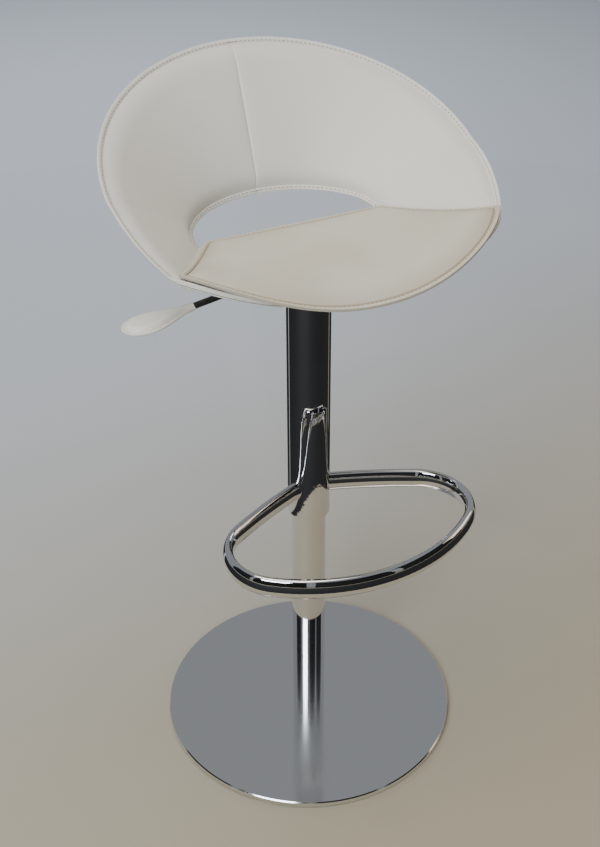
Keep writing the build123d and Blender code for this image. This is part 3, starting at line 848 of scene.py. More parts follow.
@dataclass(frozen=True)
class SewnEdge:
    """The section across a sewn edge: a flat flange, a seam valley, the pad behind it.

    Depths are measured from the pad's nominal face, into the seat.
    """

    flange: float = 7.0 * MM
    face: float = 3.0 * MM
    join: float = 4.6 * MM
    back: float = 6.2 * MM
    roll: float = 30.0 * MM
    crown: float = 2.2 * MM
    valley: float = 0.7 * MM
    cut_round: float = 0.5 * MM
    step: float = 1.3 * MM
    cut_reach: float = 0.8 * MM
    pillow: float = 0.3 * MM
    valley_side: float = 1.3 * MM
    rise_power: float = 2.4
    # The painted shade: a narrow band in the seam valley, a band at the raw edge and a broad fade along
    # the roll.
    shade_offset: float = 0.3 * MM
    shade_width: float = 1.5 * MM
    raw_shade: float = 0.55
    raw_width: float = 0.7 * MM
    roll_shade: float = 0.26
    roll_shade_width: float = 16.0 * MM

    def rise(self, edge: np.ndarray) -> np.ndarray:
        """How much of its height the pad has.

        Args:
            edge: Distances from the cut edge.

        Returns:
            The shares of the height.
        """
        return 1.0 - (1.0 - np.clip((edge - self.flange) / self.roll, 0.0, 1.0)) ** self.rise_power

    def rounding(self, edge: np.ndarray) -> np.ndarray:
        """How far the rounded cut edge falls away.

        Args:
            edge: Distances from the cut edge.

        Returns:
            The drops.
        """
        return self.cut_round * np.clip(1.0 - edge / self.cut_reach, 0.0, 1.0) ** 2

    def face_depth(self, edge: np.ndarray, full: np.ndarray) -> np.ndarray:
        """Depth of the pad's face.

        Args:
            edge: Distances from the cut edge.
            full: How full the pad is at each place, from 0 to 1.

        Returns:
            The depths.
        """
        pillow = self.pillow * np.sin(math.pi * np.clip(edge / self.flange, 0.0, 1.0))
        flat = self.face - pillow + self.rounding(edge)
        flat += self.valley * smoothstep(self.flange - self.valley_side, self.flange, edge)
        low = self.face + self.valley
        behind = low - self.rise(edge) * (low + self.crown * full)
        return np.where(edge < self.flange, flat, behind)

    def inner_depth(self, edge: np.ndarray, behind: float) -> np.ndarray:
        """Depth of a hidden side: the join at the flange, another depth behind it.

        Args:
            edge: Distances from the cut edge.
            behind: The depth behind the flange.

        Returns:
            The depths.
        """
        share = smoothstep(self.flange - 0.2 * MM, self.flange + self.step, edge)
        return self.join + (behind - self.join) * share

    def outer_depth(self, edge: np.ndarray, shoulder: float, full: float) -> np.ndarray:
        """Depth of the leather on the far side.

        Args:
            edge: Distances from the cut edge.
            shoulder: The depth just behind the flange.
            full: The depth in the middle.

        Returns:
            The depths.
        """
        share = smoothstep(self.flange - 0.4 * MM, self.flange + self.step, edge)
        depth = self.back - self.rounding(edge) + (shoulder - self.back) * share
        return depth + (full - shoulder) * self.rise(edge)

    def shade(self, edge: np.ndarray) -> np.ndarray:
        """How much tan shade is painted in the seam valley, at the raw edge and along the roll beside
        them.

        Args:
            edge: Distances from the cut edge.

        Returns:
            The shades, from 0 to 1.
        """
        # Painted shade: the seam valley's crease, the raw edge, and the roll just behind the flange.
        valley = np.exp(-(((edge - self.flange - self.shade_offset) / self.shade_width) ** 2))
        raw_edge = self.raw_shade * np.exp(-((edge / self.raw_width) ** 2))
        inside = self.roll_shade * np.exp(-(((edge - self.flange) / self.roll_shade_width) ** 2))
        return np.maximum(np.maximum(valley, raw_edge), inside * (edge > self.flange))


@dataclass
class Sheet:
    """A patch of leather: its points on the nominal face, its faces and its cut edge."""

    points: np.ndarray
    inward: np.ndarray
    faces: list[tuple[int, ...]]
    loop: list[int]
    edge: np.ndarray
    full: np.ndarray
    # How much painted tan shade each point takes.
    seam: np.ndarray

    def at(self, depth: np.ndarray) -> np.ndarray:
        """The sheet's points at a depth of their own."""
        return self.points + self.inward * depth[:, None]

    def turned(self) -> list[tuple[int, ...]]:
        """The faces, turned to look the other way."""
        return [tuple(reversed(face)) for face in self.faces]

    def closed(self, name: str, front: np.ndarray, back: np.ndarray) -> bpy.types.Object:
        """A closed piece between two copies of the sheet.

        Args:
            name: The piece's name.
            front: The points of the side that looks at the sitter.
            back: The points of the other side.

        Returns:
            The piece, with its painted seam shade as an attribute.
        """
        count = len(front)
        far = [tuple(count + i for i in face) for face in self.turned()]
        after = self.loop[1:] + self.loop[:1]
        wall = [(i, j, count + j, count + i) for i, j in zip(self.loop, after)]
        mesh = bpy.data.meshes.new(name)
        mesh.from_pydata(np.vstack([front, back]).tolist(), [], self.faces + far + wall)
        # The seam attribute carries the painted shade that the leather blends in.
        shade = mesh.attributes.new("seam", "FLOAT", "POINT")
        shade.data.foreach_set("value", np.concatenate([self.seam, self.seam]).astype(np.float32))
        work = bmesh.new()
        work.from_mesh(mesh)
        bmesh.ops.recalc_face_normals(work, faces=work.faces)
        work.to_mesh(mesh)
        work.free()
        mesh.shade_smooth()
        mesh.set_sharp_from_angle(angle=math.radians(48))
        return new_object(name, mesh)


@dataclass(frozen=True)
class Inflation:
    """Foam that fills sewn leather: a short cloth simulation under pressure."""

    pressure: float = 4.0
    stiffness: float = 25.0
    bending: float = 2.0
    mass: float = 0.2
    quality: int = 5
    cap: float = 4.0 * MM
    frames: int = 20
    smoothing: int = 60

    def settle(self, shift: np.ndarray, faces: list[tuple[int, ...]], held: np.ndarray) -> np.ndarray:
        """Evens out the small ripples that a short simulation leaves.

        Args:
            shift: How far each point moved.
            faces: The sheet's faces.
            held: Which points are sewn down.

        Returns:
            The smoothed shift.
        """
        sides = np.array([(a, b) for face in faces for a, b in zip(face, face[1:] + face[:1])])
        ends = np.concatenate([sides, sides[:, ::-1]])
        share = np.bincount(ends[:, 0], minlength=len(shift)).astype(float)
        for _ in range(self.smoothing):
            pulled = np.stack([np.bincount(ends[:, 0], shift[ends[:, 1], axis], len(shift))
                               for axis in range(3)], axis=1)
            shift = 0.5 * shift + 0.5 * pulled / np.maximum(share, 1.0)[:, None]
            shift[held] = 0.0
        return shift

    def fill(self, points: np.ndarray, faces: list[tuple[int, ...]], held: np.ndarray) -> np.ndarray:
        """Blows a sheet up along its normals.

        Args:
            points: The sheet's points.
            faces: Its faces, looking the way it swells.
            held: Which points are sewn down.

        Returns:
            The points after the leather has settled, moved no further than the cap.
        """
        mesh = bpy.data.meshes.new("settling")
        mesh.from_pydata(points.tolist(), [], faces)
        probe = new_object("settling", mesh)
        group = probe.vertex_groups.new(name="held")
        group.add(np.flatnonzero(held).tolist(), 1.0, "REPLACE")
        cloth = probe.modifiers.new("Cloth", "CLOTH")
        cloth.settings.quality = self.quality
        cloth.settings.mass = self.mass
        cloth.settings.tension_stiffness = self.stiffness
        cloth.settings.compression_stiffness = self.stiffness
        cloth.settings.bending_stiffness = self.bending
        cloth.settings.vertex_group_mass = group.name
        cloth.settings.use_pressure = True
        cloth.settings.uniform_pressure_force = self.pressure
        cloth.settings.effector_weights.gravity = 0.0
        cloth.collision_settings.use_collision = False
        cloth.point_cache.frame_start = 1
        cloth.point_cache.frame_end = self.frames
        for step in range(1, self.frames + 1):
            bpy.context.scene.frame_set(step)
        settled = probe.evaluated_get(bpy.context.evaluated_depsgraph_get())
        moved = np.empty(points.size, dtype=np.float32)
        settled.data.vertices.foreach_get("co", moved)
        bpy.data.objects.remove(probe)
        bpy.context.scene.frame_set(1)
        shift = self.settle(moved.reshape(-1, 3) - points, faces, held)
        size = np.linalg.norm(shift, axis=1)
        LOG.info("foam pushed the leather out by up to %.1f mm", size.max() / MM)
        kept = self.cap * np.tanh(size / self.cap) / np.maximum(size, 1e-9)
        return points + shift * kept[:, None]


class Side(Enum):
    """The side of a flange that a row of stitches lies on."""

    FACE = -1.0
    BACK = 1.0


@dataclass(frozen=True)
class Row:
    """A line of stitches to be sewn, with the way that is up from the leather."""

    points: np.ndarray
    up: np.ndarray
    closed: bool = False


@dataclass(frozen=True)
class Sewing:
    """Lays one small shape at an even pitch along rows, with Geometry Nodes."""

    pitch: float = 6.0 * MM
    length: float = 4.4 * MM
    width: float = 1.3 * MM
    height: float = 0.9 * MM
    lift: float = 0.1 * MM
    offset: float = 0.0

    def tree(self) -> bpy.types.NodeTree:
        """Builds the tree once: resample, place, stand up, realise, paint."""
        found = bpy.data.node_groups.get("Even Pitch")
        if found:
            return found
        tree = bpy.data.node_groups.new("Even Pitch", "GeometryNodeTree")
        face = tree.interface
        face.new_socket("Geometry", in_out="INPUT", socket_type="NodeSocketGeometry")
        for name in ("Pitch", "Length", "Width", "Height", "Lift", "Offset"):
            face.new_socket(name, in_out="INPUT", socket_type="NodeSocketFloat")
        face.new_socket("Material", in_out="INPUT", socket_type="NodeSocketMaterial")
        face.new_socket("Geometry", in_out="OUTPUT", socket_type="NodeSocketGeometry")
        graph = Graph(tree)
        start = graph.add("NodeGroupInput").outputs
        curve = graph.add("GeometryNodeMeshToCurve", Mesh=start["Geometry"])
        even = graph.add("GeometryNodeResampleCurve", mode="LENGTH", Curve=curve.outputs[0],
                         Length=start["Pitch"])
        tangent = graph.add("GeometryNodeInputTangent").outputs[0]
        up = graph.add("GeometryNodeInputNamedAttribute", data_type="FLOAT_VECTOR")
        graph.feed(up, "Name", "up")
        lift = graph.add("ShaderNodeVectorMath", operation="SCALE", i0=up.outputs[0])
        graph.feed(lift, "Scale", start["Lift"])
        slide = graph.add("ShaderNodeVectorMath", operation="SCALE", i0=tangent)
        graph.feed(slide, "Scale", start["Offset"])
        shift = graph.add("ShaderNodeVectorMath", operation="ADD", i0=lift.outputs[0],
                          i1=slide.outputs[0])
        moved = graph.add("GeometryNodeSetPosition", Geometry=even.outputs[0],
                          Offset=shift.outputs[0])
        along = graph.add("FunctionNodeAlignRotationToVector", axis="X", Vector=tangent)
        stood = graph.add("FunctionNodeAlignRotationToVector", axis="Z", pivot_axis="X",
                          Rotation=along.outputs[0], Vector=up.outputs[0])
        size = graph.add("ShaderNodeCombineXYZ", X=start["Length"], Y=start["Width"],
                         Z=start["Height"])
        bead = graph.add("GeometryNodeMeshUVSphere", Segments=8, Rings=6, Radius=0.5)
        placed = graph.add("GeometryNodeInstanceOnPoints", Points=moved.outputs[0],
                           Instance=bead.outputs[0], Rotation=stood.outputs[0],
                           Scale=size.outputs[0])
        real = graph.add("GeometryNodeRealizeInstances", Geometry=placed.outputs[0])
        smooth = graph.add("GeometryNodeSetShadeSmooth", Geometry=real.outputs[0])
        painted = graph.add("GeometryNodeSetMaterial", Geometry=smooth.outputs[0],
                            Material=start["Material"])
        graph.add("NodeGroupOutput", i0=painted.outputs[0])
        return tree

    def sew(self, name: str, rows: Sequence[Row], finish: Finish) -> bpy.types.Object:
        """Sews rows, and leaves one plain mesh.

        Args:
            name: The piece's name.
            rows: The rows.
            finish: The finish of the small shape.

        Returns:
            The piece.
        """
        points, ups, edges = [], [], []
        for row in rows:
            first, count = sum(map(len, points)), len(row.points)
            points.append(row.points)
            ups.append(row.up)
            edges += [(first + i, first + i + 1) for i in range(count - 1)]
            if row.closed:
                edges.append((first + count - 1, first))
        mesh = bpy.data.meshes.new(name)
        mesh.from_pydata(np.vstack(points).tolist(), edges, [])
        up = mesh.attributes.new("up", "FLOAT_VECTOR", "POINT")
        up.data.foreach_set("vector", np.vstack(ups).astype(np.float32).ravel())
        piece = new_object(name, mesh)
        tree = self.tree()
        maker = piece.modifiers.new("Sewing", "NODES")
        maker.node_group = tree
        values = {"Pitch": self.pitch, "Length": self.length, "Width": self.width,
                  "Height": self.height, "Lift": self.lift, "Offset": self.offset,
                  "Material": finish.material()}
        for socket in tree.interface.items_tree:
            if socket.in_out == "INPUT" and socket.name in values:
                maker[socket.identifier] = values[socket.name]
        made = piece.evaluated_get(bpy.context.evaluated_depsgraph_get())
        plain = bpy.data.meshes.new_from_object(made)
        piece.modifiers.clear()
        piece.data = plain
        LOG.info("%s: %d faces", name, len(plain.polygons))
        return piece


STITCH = Sewing()
# Small dark dots between the stitches, painted shade for the needle holes.
SHADE_DOT = Sewing(length=1.5 * MM, width=1.2 * MM, height=0.34 * MM, lift=0.03 * MM, offset=3.0 * MM)


def finish_piece(piece: bpy.types.Object, body: str, finish: Finish | None, *nodes: str) -> None:
    """Paints a piece, lets it ride on a body and hides what it stands for.

    Args:
        piece: The piece.
        body: The body that it rides on.
        finish: Its finish, or None where it has one already.
        nodes: The CAD nodes that it replaces.
    """
    if finish is not None:
        piece.data.materials.clear()
        piece.data.materials.append(finish.material())
    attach(piece, body)
    if nodes:
        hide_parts(*nodes)
    LOG.info("made %s: %d faces", piece.name, len(piece.data.polygons))


def sew_rows(name: str, rows: Sequence[Row], body: str) -> None:
    """Sews a set of rows in thread, with a dark dot of painted shade for the needle hole after each
    stitch.

    Args:
        name: What the rows belong to.
        rows: The rows.
        body: The body that they ride on.
    """
    finish_piece(STITCH.sew(f"{name}_stitches", rows, THREAD), body, None)
    finish_piece(SHADE_DOT.sew(f"{name}_needle_hole_shades", rows, NEEDLE_HOLE_SHADE), body, None)


RINGS = tuple(MM * step for step in (
    0.0, 0.8, 2.4, 4.0, 5.7, 6.4, 7.0, 7.7, 8.5, 9.8, 11.6, 14.0, 17.0, 21.0, 26.0, 32.0, 38.0
))


def flat_sheet(outline: np.ndarray, rings: Sequence[float], spacing: float) -> tuple[
        np.ndarray, list[tuple[int, ...]], list[int]]:
    """Lays a sheet out flat: rings along its edge and an even field inside them.

    Args:
        outline: The outline, anticlockwise, with its first point repeated.
        rings: Distances of the rings from the outline, 0 first.
        spacing: The distance between points.

    Returns:
        The places, the faces and the loop of edge places.
    """
    loop = evenly(outline, spacing)
    closed = np.vstack([loop, loop[:1]])
    places = [loop]
    for ring in rings[1:]:
        stride = 1 if ring < 12.0 * MM else 2
        places.append(inset_points(loop, ring)[::stride])
    low, high = loop.min(0), loop.max(0)
    across = np.arange(low[0], high[0], 1.5 * spacing)
    down = np.arange(low[1], high[1], 1.5 * spacing)
    field_places = np.stack(np.meshgrid(across, down), axis=-1).reshape(-1, 2)
    inside = inside_of(field_places, loop)
    deep = distance_in_plan(field_places, closed) > rings[-1] + 0.6 * spacing
    places.append(field_places[inside & deep])
    spots = np.vstack(places)
    count = len(loop)
    ties = [(i, (i + 1) % count) for i in range(count)]
    found = delaunay_2d_cdt([Vector(spot) for spot in spots], ties, [], 1, 1e-7)
    kept, faces, sources = found[0], found[2], found[3]
    index = {source: i for i, group in enumerate(sources) for source in group}
    return (np.array([tuple(spot) for spot in kept]), [tuple(face) for face in faces],
            [index[i] for i in range(count)])


def inside_of(places: np.ndarray, loop: np.ndarray) -> np.ndarray:
    """Which places lie inside a closed loop.

    Args:
        places: The places.
        loop: The loop's points.

    Returns:
        A mask.
    """
    starts, ends = loop, np.roll(loop, -1, axis=0)
    x, y = places[:, :1], places[:, 1:]
    spans = (starts[:, 1] > y) != (ends[:, 1] > y)
    rise = np.where(ends[:, 1] == starts[:, 1], 1e-12, ends[:, 1] - starts[:, 1])
    crossing = starts[:, 0] + (y - starts[:, 1]) / rise * (ends[:, 0] - starts[:, 0])
    return (spans & (x < crossing)).sum(1) % 2 == 1


# ---- Seat pan -------------------------------------------------------------------


@dataclass
class SeatPan:
    """The pan: a thin foam pad under white leather, sewn to a lining around a board."""

    form: SeatForm
    edge: SewnEdge = field(default_factory=lambda: SewnEdge(
        face=5.4 * MM, join=7.2 * MM, back=9.4 * MM, valley=0.9 * MM))
    foam: Inflation = field(default_factory=Inflation)
    spacing: float = 3.4 * MM
    board_top: float = 6.0 * MM
    board_under: float = 9.05 * MM
    lining_under: float = 10.5 * MM
    stitch_inset: float = 4.4 * MM

    def sheet(self) -> Sheet:
        """The pan's sheet, in space."""
        outline = self.form.pan_outline()
        places, faces, loop = flat_sheet(outline, RINGS, self.spacing)
        edge = distance_in_plan(places, outline)
        points = np.column_stack([places, self.form.pan_z(places[:, 0], places[:, 1])])
        inward = np.tile(np.array([0.0, 0.0, -1.0]), (len(places), 1))
        # The pan's sewn edge takes painted tan shade.
        return Sheet(points, inward, faces, loop, edge, np.ones(len(places)), self.edge.shade(edge))

    def rows(self) -> list[Row]:
        """The row of stitches on the flange, seen from above and from below."""
        loop = evenly(self.form.pan_outline(), self.spacing)
        line = inset_points(loop, self.stitch_inset)
        top = self.form.pan_z(line[:, 0], line[:, 1])
        rows = []
        for side, depth in ((Side.FACE, self.edge.face), (Side.BACK, self.edge.back)):
            up = np.tile(np.array([0.0, 0.0, -side.value]), (len(line), 1))
            rows.append(Row(np.column_stack([line, top - depth]), up, closed=True))
        return rows

    def build(self) -> None:
        """Makes and dresses the pan."""
        sheet, edge = self.sheet(), self.edge
        front = sheet.at(edge.face_depth(sheet.edge, sheet.full))
        held = sheet.edge < edge.flange + edge.cut_reach
        front = self.foam.fill(front, sheet.faces, held)
        back = sheet.at(edge.inner_depth(sheet.edge, self.board_top))
        pad = sheet.closed("pan_leather", front, back)
        # The pan's leather is a warmer copy, painted for warm bounce light.
        finish_piece(pad, "column", WARM_LIT_PAN_LEATHER, "pan_pad")
        upper = sheet.at(edge.inner_depth(sheet.edge, self.board_under))
        lower = sheet.at(edge.outer_depth(sheet.edge, self.lining_under, self.lining_under))
        lining = sheet.closed("pan_lining_leather", upper, lower)
        finish_piece(lining, "column", LINING_LEATHER, "pan_lining")
        sew_rows("pan", self.rows(), "column")
        dress("pan_board", SHELL_PLASTIC)


# ---- Backrest -------------------------------------------------------------------


@dataclass
class Backrest:
    """The band behind the sitter: padded leather inside, leather outside, a shell between."""

    form: SeatForm
    edge: SewnEdge = field(default_factory=lambda: SewnEdge(
        face=5.4 * MM, join=6.95 * MM, back=8.5 * MM, roll=27.0 * MM, crown=2.4 * MM))
    foam: Inflation = field(default_factory=lambda: Inflation(cap=3.5 * MM))
    outer_foam: Inflation = field(default_factory=lambda: Inflation(pressure=2.0, cap=1.2 * MM))
    station_step: float = 1.5
    field_lines: int = 22
    pad_under: float = 6.1 * MM
    cover_top: float = 9.7 * MM
    cover_shoulder: float = 10.8 * MM
    cover_full: float = 12.0 * MM
    seam_width: float = 0.8 * MM
    seam_depth: float = 1.5 * MM
    seam_valley: float = 7.0 * MM
    seam_sink: float = 0.9 * MM
    stitch_inset: float = 4.4 * MM
    # How dark the painted shade in the upright back seam is.
    seam_shade: float = 0.8
    seam_hold: float = 0.4
    row_end: float = 2.0
    row_step: float = 0.75
    clear_of_pan: float = 22.0 * MM
    free_from: float = 0.35
    held_below: float = 0.3
    arm_lift: float = 4.6 * MM
    arm_under_lift: float = 0.2

    def angles(self) -> np.ndarray:
        """The stations along the band, closer at its centre seam and its two ends."""
        end = self.form.arm_end_angle
        tip = self.run_length(end - 1.0, end)
        seam = [math.degrees(x / self.form.back_rear_depth)
                for x in (0.0, 0.35 * MM, 0.8 * MM, 1.5 * MM, 2.8 * MM, 4.4 * MM)]
        ends = [end - ring / tip for ring in RINGS if ring < 20.0 * MM]
        middle = np.arange(seam[-1] + self.station_step / 2, min(ends) - self.station_step / 2,
                           self.station_step)
        half = np.array(sorted([*seam, *middle, *ends]))
        return np.concatenate([-half[:0:-1], half])

    def run_length(self, start: float, end: float) -> float:
        """Length along the middle of the band between two angles, for each degree."""
        one, two = (self.form.band_point(angle, [0.6])[0][0] for angle in (start, end))
        return float(np.linalg.norm(two - one)) / (end - start)

    def sheet(self) -> Sheet:
        """The band's sheet, in space."""
        angles = self.angles()
        tip = self.run_length(self.form.arm_end_angle - 1.0, self.form.arm_end_angle)
        columns, ways, edges = [], [], []
        for angle in angles:
            length = self.form.band_point(angle, [0.0])[2]
            near = np.array(RINGS) / length
            inner = np.linspace(near[-1], 1.0 - near[-1], self.field_lines)[1:-1]
            shares = np.concatenate([near, inner, 1.0 - near[::-1]])
            points, way, _ = self.form.band_point(angle, shares)
            columns.append(points)
            ways.append(np.tile(way, (len(shares), 1)))
            to_end = (self.form.arm_end_angle - abs(angle)) * tip
            edges.append(np.minimum(np.minimum(shares, 1.0 - shares) * length, to_end))
        rows, count = len(columns[0]), len(angles)
        points, inward, edge = np.vstack(columns), np.vstack(ways), np.concatenate(edges)
        faces = [
            (c * rows + r, (c + 1) * rows + r, (c + 1) * rows + r + 1, c * rows + r + 1)
            for c in range(count - 1) for r in range(rows - 1)
        ]
        loop = [c * rows for c in range(count)]
        loop += [(count - 1) * rows + r for r in range(1, rows)]
        loop += [c * rows + rows - 1 for c in range(count - 2, -1, -1)]
        loop += [r for r in range(rows - 2, 0, -1)]
        one, two, three = (points[i] for i in faces[len(faces) // 2][:3])
        if np.cross(two - one, three - two) @ inward[faces[len(faces) // 2][0]] > 0:
            faces = [tuple(reversed(face)) for face in faces]
        outline = self.form.pan_outline()
        clear = distance_in_plan(points[:, :2], outline)
        clear[inside_of(points[:, :2], outline[:-1])] = 0.0
        full = smoothstep(0.0, self.clear_of_pan, clear)
        # Painted shade in the upright seam behind the sitter, on top of the painted shade at the sewn
        # edges.
        seam = np.exp(-((points[:, 0] / self.seam_width) ** 2)) * (points[:, 1] > self.form.rear_y)
        shade = np.maximum(self.edge.shade(edge), self.seam_shade * seam)
        return Sheet(points, inward, faces, loop, edge, full, shade)

    def lift_under_pan(self, sheet: Sheet) -> np.ndarray:
        """How far the sewn edges of the arms are raised where the pan covers them.

        Args:
            sheet: The band's sheet.

        Returns:
            The lifts, 0 on the band behind the pan.
        """
        sewn = 1.0 - self.edge.rise(sheet.edge)
        return self.arm_lift * sewn * (1.0 - smoothstep(0.0, self.free_from, sheet.full))

    def seam_dip(self, sheet: Sheet) -> np.ndarray:
        """How deep the upright seam in the middle pulls the leather in.

        Args:
            sheet: The band's sheet.

        Returns:
            The depths.
        """
        across = np.abs(sheet.points[:, 0])
        behind = sheet.points[:, 1] > self.form.rear_y
        sharp = self.seam_depth * np.exp(-((across / self.seam_width) ** 2))
        soft = self.seam_sink * np.exp(-((across / self.seam_valley) ** 2))
        return (sharp + soft) * behind

    def rows(self) -> list[Row]:
        """The rows of stitches along the rim and the opening, on both sides."""
        end = self.form.arm_end_angle - self.row_end
        rows = []
        for upper in (True, False):
            for side, depth in ((Side.FACE, self.edge.face), (Side.BACK, self.edge.back)):
                points, ups = [], []
                for angle in np.arange(-end, end + 0.01, self.row_step):
                    length = self.form.band_point(angle, [0.0])[2]
                    share = self.stitch_inset / length
                    place, way, _ = self.form.band_point(angle, [1.0 - share if upper else share])
                    points.append(place[0] + way * depth)
                    ups.append(way * side.value)
                rows.append(Row(np.array(points), np.array(ups)))
        return rows

    def build(self) -> None:
        """Makes and dresses the backrest."""
        sheet, edge = self.sheet(), self.edge
        dip = self.seam_dip(sheet)
        rise = edge.rise(sheet.edge)
        lift = self.lift_under_pan(sheet)
        dent = dip * np.maximum(rise, self.seam_hold)
        front = sheet.at(edge.face_depth(sheet.edge, sheet.full) + dent - lift)
        sewn = (sheet.edge < edge.flange + edge.cut_reach) | (sheet.full < self.held_below)
        held = sewn | (np.abs(sheet.points[:, 0]) < self.seam_width)
        front = self.foam.fill(front, sheet.faces, held)
        under_depth = edge.inner_depth(sheet.edge, self.pad_under) - self.arm_under_lift * lift
        under = sheet.at(under_depth)
        pad = sheet.closed("back_leather", front, under)
        finish_piece(pad, "column", WHITE_LEATHER, "back_pad")
        inside = sheet.at(edge.inner_depth(sheet.edge, self.cover_top))
        depth = edge.outer_depth(sheet.edge, self.cover_shoulder, self.cover_full)
        outside = sheet.at(depth - 0.5 * dip * rise)
        outside = self.outer_foam.fill(outside, sheet.turned(), held)
        cover = sheet.closed("back_outer_leather", inside, outside)
        finish_piece(cover, "column", WHITE_LEATHER, "back_cover")
        sew_rows("back", self.rows(), "column")
        dress("back_shell", SHELL_PLASTIC)


# ---- Lever and mechanism --------------------------------------------------------


@dataclass
class Handle:
    """The lever's leather paddle: two leathers sewn around a flat core."""

    start: float = 187.0 * MM
    widest_at: float = 256.0 * MM
    end: float = 285.0 * MM
    neck: float = 7.5 * MM
    half_width: float = 23.0 * MM
    forward_angle: float = 14.0
    edge: SewnEdge = field(default_factory=lambda: SewnEdge(
        flange=3.4 * MM, face=-1.3 * MM, join=0.0, back=1.3 * MM, roll=7.0 * MM,
        crown=6.2 * MM, valley=0.3 * MM, step=0.6 * MM, roll_shade_width=4.0 * MM))
    rings: tuple[float, ...] = tuple(MM * step for step in (
        0.0, 0.8, 1.6, 2.5, 3.0, 3.4, 4.0, 4.8, 5.8, 7.2, 9.0, 11.0))
    spacing: float = 1.6 * MM
    stitch_inset: float = 2.0 * MM
    pitch: float = 4.6 * MM
    row_start: float = 6.0 * MM
    # How much of the edge's painted shade the paddle takes.
    paddle_shade_share: float = 0.8
    sleeve: float = 5.6 * MM
    sleeve_end: tuple[float, float] = (196.0 * MM, 232.0 * MM)

    def half_at(self, along: float) -> float:
        """The paddle's half width.

        Args:
            along: The distance from the column.

        Returns:
            The half width there.
        """
        if along > self.widest_at:
            share = (along - self.widest_at) / (self.end - self.widest_at)
            return self.half_width * math.sqrt(max(0.0, 1.0 - share * share))
        share = (along - self.start) / (self.widest_at - self.start)
        swell = (0.5 - 0.5 * math.cos(math.pi * share)) ** 0.95
        return self.neck + (self.half_width - self.neck) * swell

    def side(self) -> np.ndarray:
        """One long side, from the neck to the tip."""
        stops = list(np.linspace(self.start, self.widest_at, 40)[:-1])
        stops += [self.widest_at + (self.end - self.widest_at) * math.sin(turn)
                  for turn in np.linspace(0.0, math.pi / 2, 30)]
        return np.array([(stop, self.half_at(stop)) for stop in stops])

    def place(self, flat: np.ndarray) -> np.ndarray:
        """Moves flat points onto the lever's line.

        Args:
            flat: Distances along and across the lever.

        Returns:
            The points in space.
        """
        turn = math.radians(180.0 + self.forward_angle)
        low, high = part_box("lever_rod")
        x = flat[:, 0] * math.cos(turn) - flat[:, 1] * math.sin(turn)
        y = flat[:, 0] * math.sin(turn) + flat[:, 1] * math.cos(turn)
        return np.column_stack([x, y, np.full(len(flat), (low[2] + high[2]) / 2)])

    def build(self) -> None:
        """Makes and dresses the paddle, which rides on the lever."""
        side = self.side()
        sewn = np.vstack([side * np.array([1.0, -1.0]), side[-2::-1]])
        outline = np.vstack([sewn, sewn[:1]])
        flat, faces, loop = flat_sheet(outline, self.rings, self.spacing)
        distance = distance_in_plan(flat, sewn)
        inward = np.tile(np.array([0.0, 0.0, -1.0]), (len(flat), 1))
        # The paddle's sewn edge takes painted tan shade, a little weaker.
        sheet = Sheet(self.place(flat), inward, faces, loop, distance, np.ones(len(flat)),
                      self.edge.shade(distance) * self.paddle_shade_share)
        round_rod = np.sqrt(np.maximum(0.0, self.sleeve**2 - flat[:, 1] ** 2))
        round_rod *= 1.0 - smoothstep(*self.sleeve_end, flat[:, 0])
        depth = np.minimum(self.edge.face_depth(distance, sheet.full), -round_rod)
        leather = sheet.closed("handle_leather", sheet.at(depth), sheet.at(-depth))
        finish_piece(leather, "lever", WHITE_LEATHER, "handle_cover")
        self.sew(sewn)
        dress("handle_core", SHELL_PLASTIC)

    def sew(self, sewn: np.ndarray) -> None:
        """Sews the paddle's edge, above and below.

        Args:
            sewn: The long sides, which are sewn together.
        """
        along = np.gradient(sewn, axis=0)
        along /= np.linalg.norm(along, axis=1)[:, None]
        line = sewn + self.stitch_inset * np.stack([-along[:, 1], along[:, 0]], axis=1)
        line = line[line[:, 0] > self.start + self.row_start]
        rows = []
        for side in Side:
            up = np.tile(np.array([0.0, 0.0, -side.value]), (len(line), 1))
            rows.append(Row(self.place(line) - up * self.edge.face, up))
        stitch = Sewing(pitch=self.pitch, length=3.4 * MM, width=0.9 * MM, height=0.7 * MM)
        finish_piece(stitch.sew("handle_stitches", rows, THREAD), "lever", None)


@dataclass
class Mechanism:
    """The lever, the release pin, the hub and the plate under the seat."""

    black: tuple[str, ...] = ("lever_rod", "taper_hub", "mechanism_housing")
    pressed: tuple[str, ...] = ("mechanism_plate",)
    bright: tuple[str, ...] = ("lever_pivot_pin", "release_pin", "plate_spacers", "seat_screws")

    def build(self) -> None:
        """Dresses the parts."""
        for nodes, finish in ((self.black, BLACK_STEEL), (self.pressed, PRESSED_STEEL),
                              (self.bright, ZINC_STEEL)):
            for node in nodes:
                dress(node, finish)


# ---- Column and base ------------------------------------------------------------


@dataclass
class Column:
    """The cover tube, the gas spring inside it and the footrest on it."""

    chromed: tuple[str, ...] = ("cover_tube", "footrest_saddle", "footrest_ring")
    nylon: tuple[str, ...] = ("cover_glide", "cover_collar", "cylinder_gland", "piston")
    steel: tuple[str, ...] = ("piston_rod", "rod_clip", "upper_race", "bearing_balls")
    rubber: tuple[str, ...] = ("bump_stop", "piston_seal")
    black: tuple[str, ...] = ("gas_cylinder",)

    def build(self) -> None:
        """Dresses the parts."""
        for nodes, finish in ((self.chromed, TUBE_CHROME), (self.nylon, BLACK_NYLON),
                              (self.steel, ZINC_STEEL), (self.rubber, BLACK_RUBBER),
                              (self.black, BLACK_STEEL)):
            for node in nodes:
                dress(node, finish)


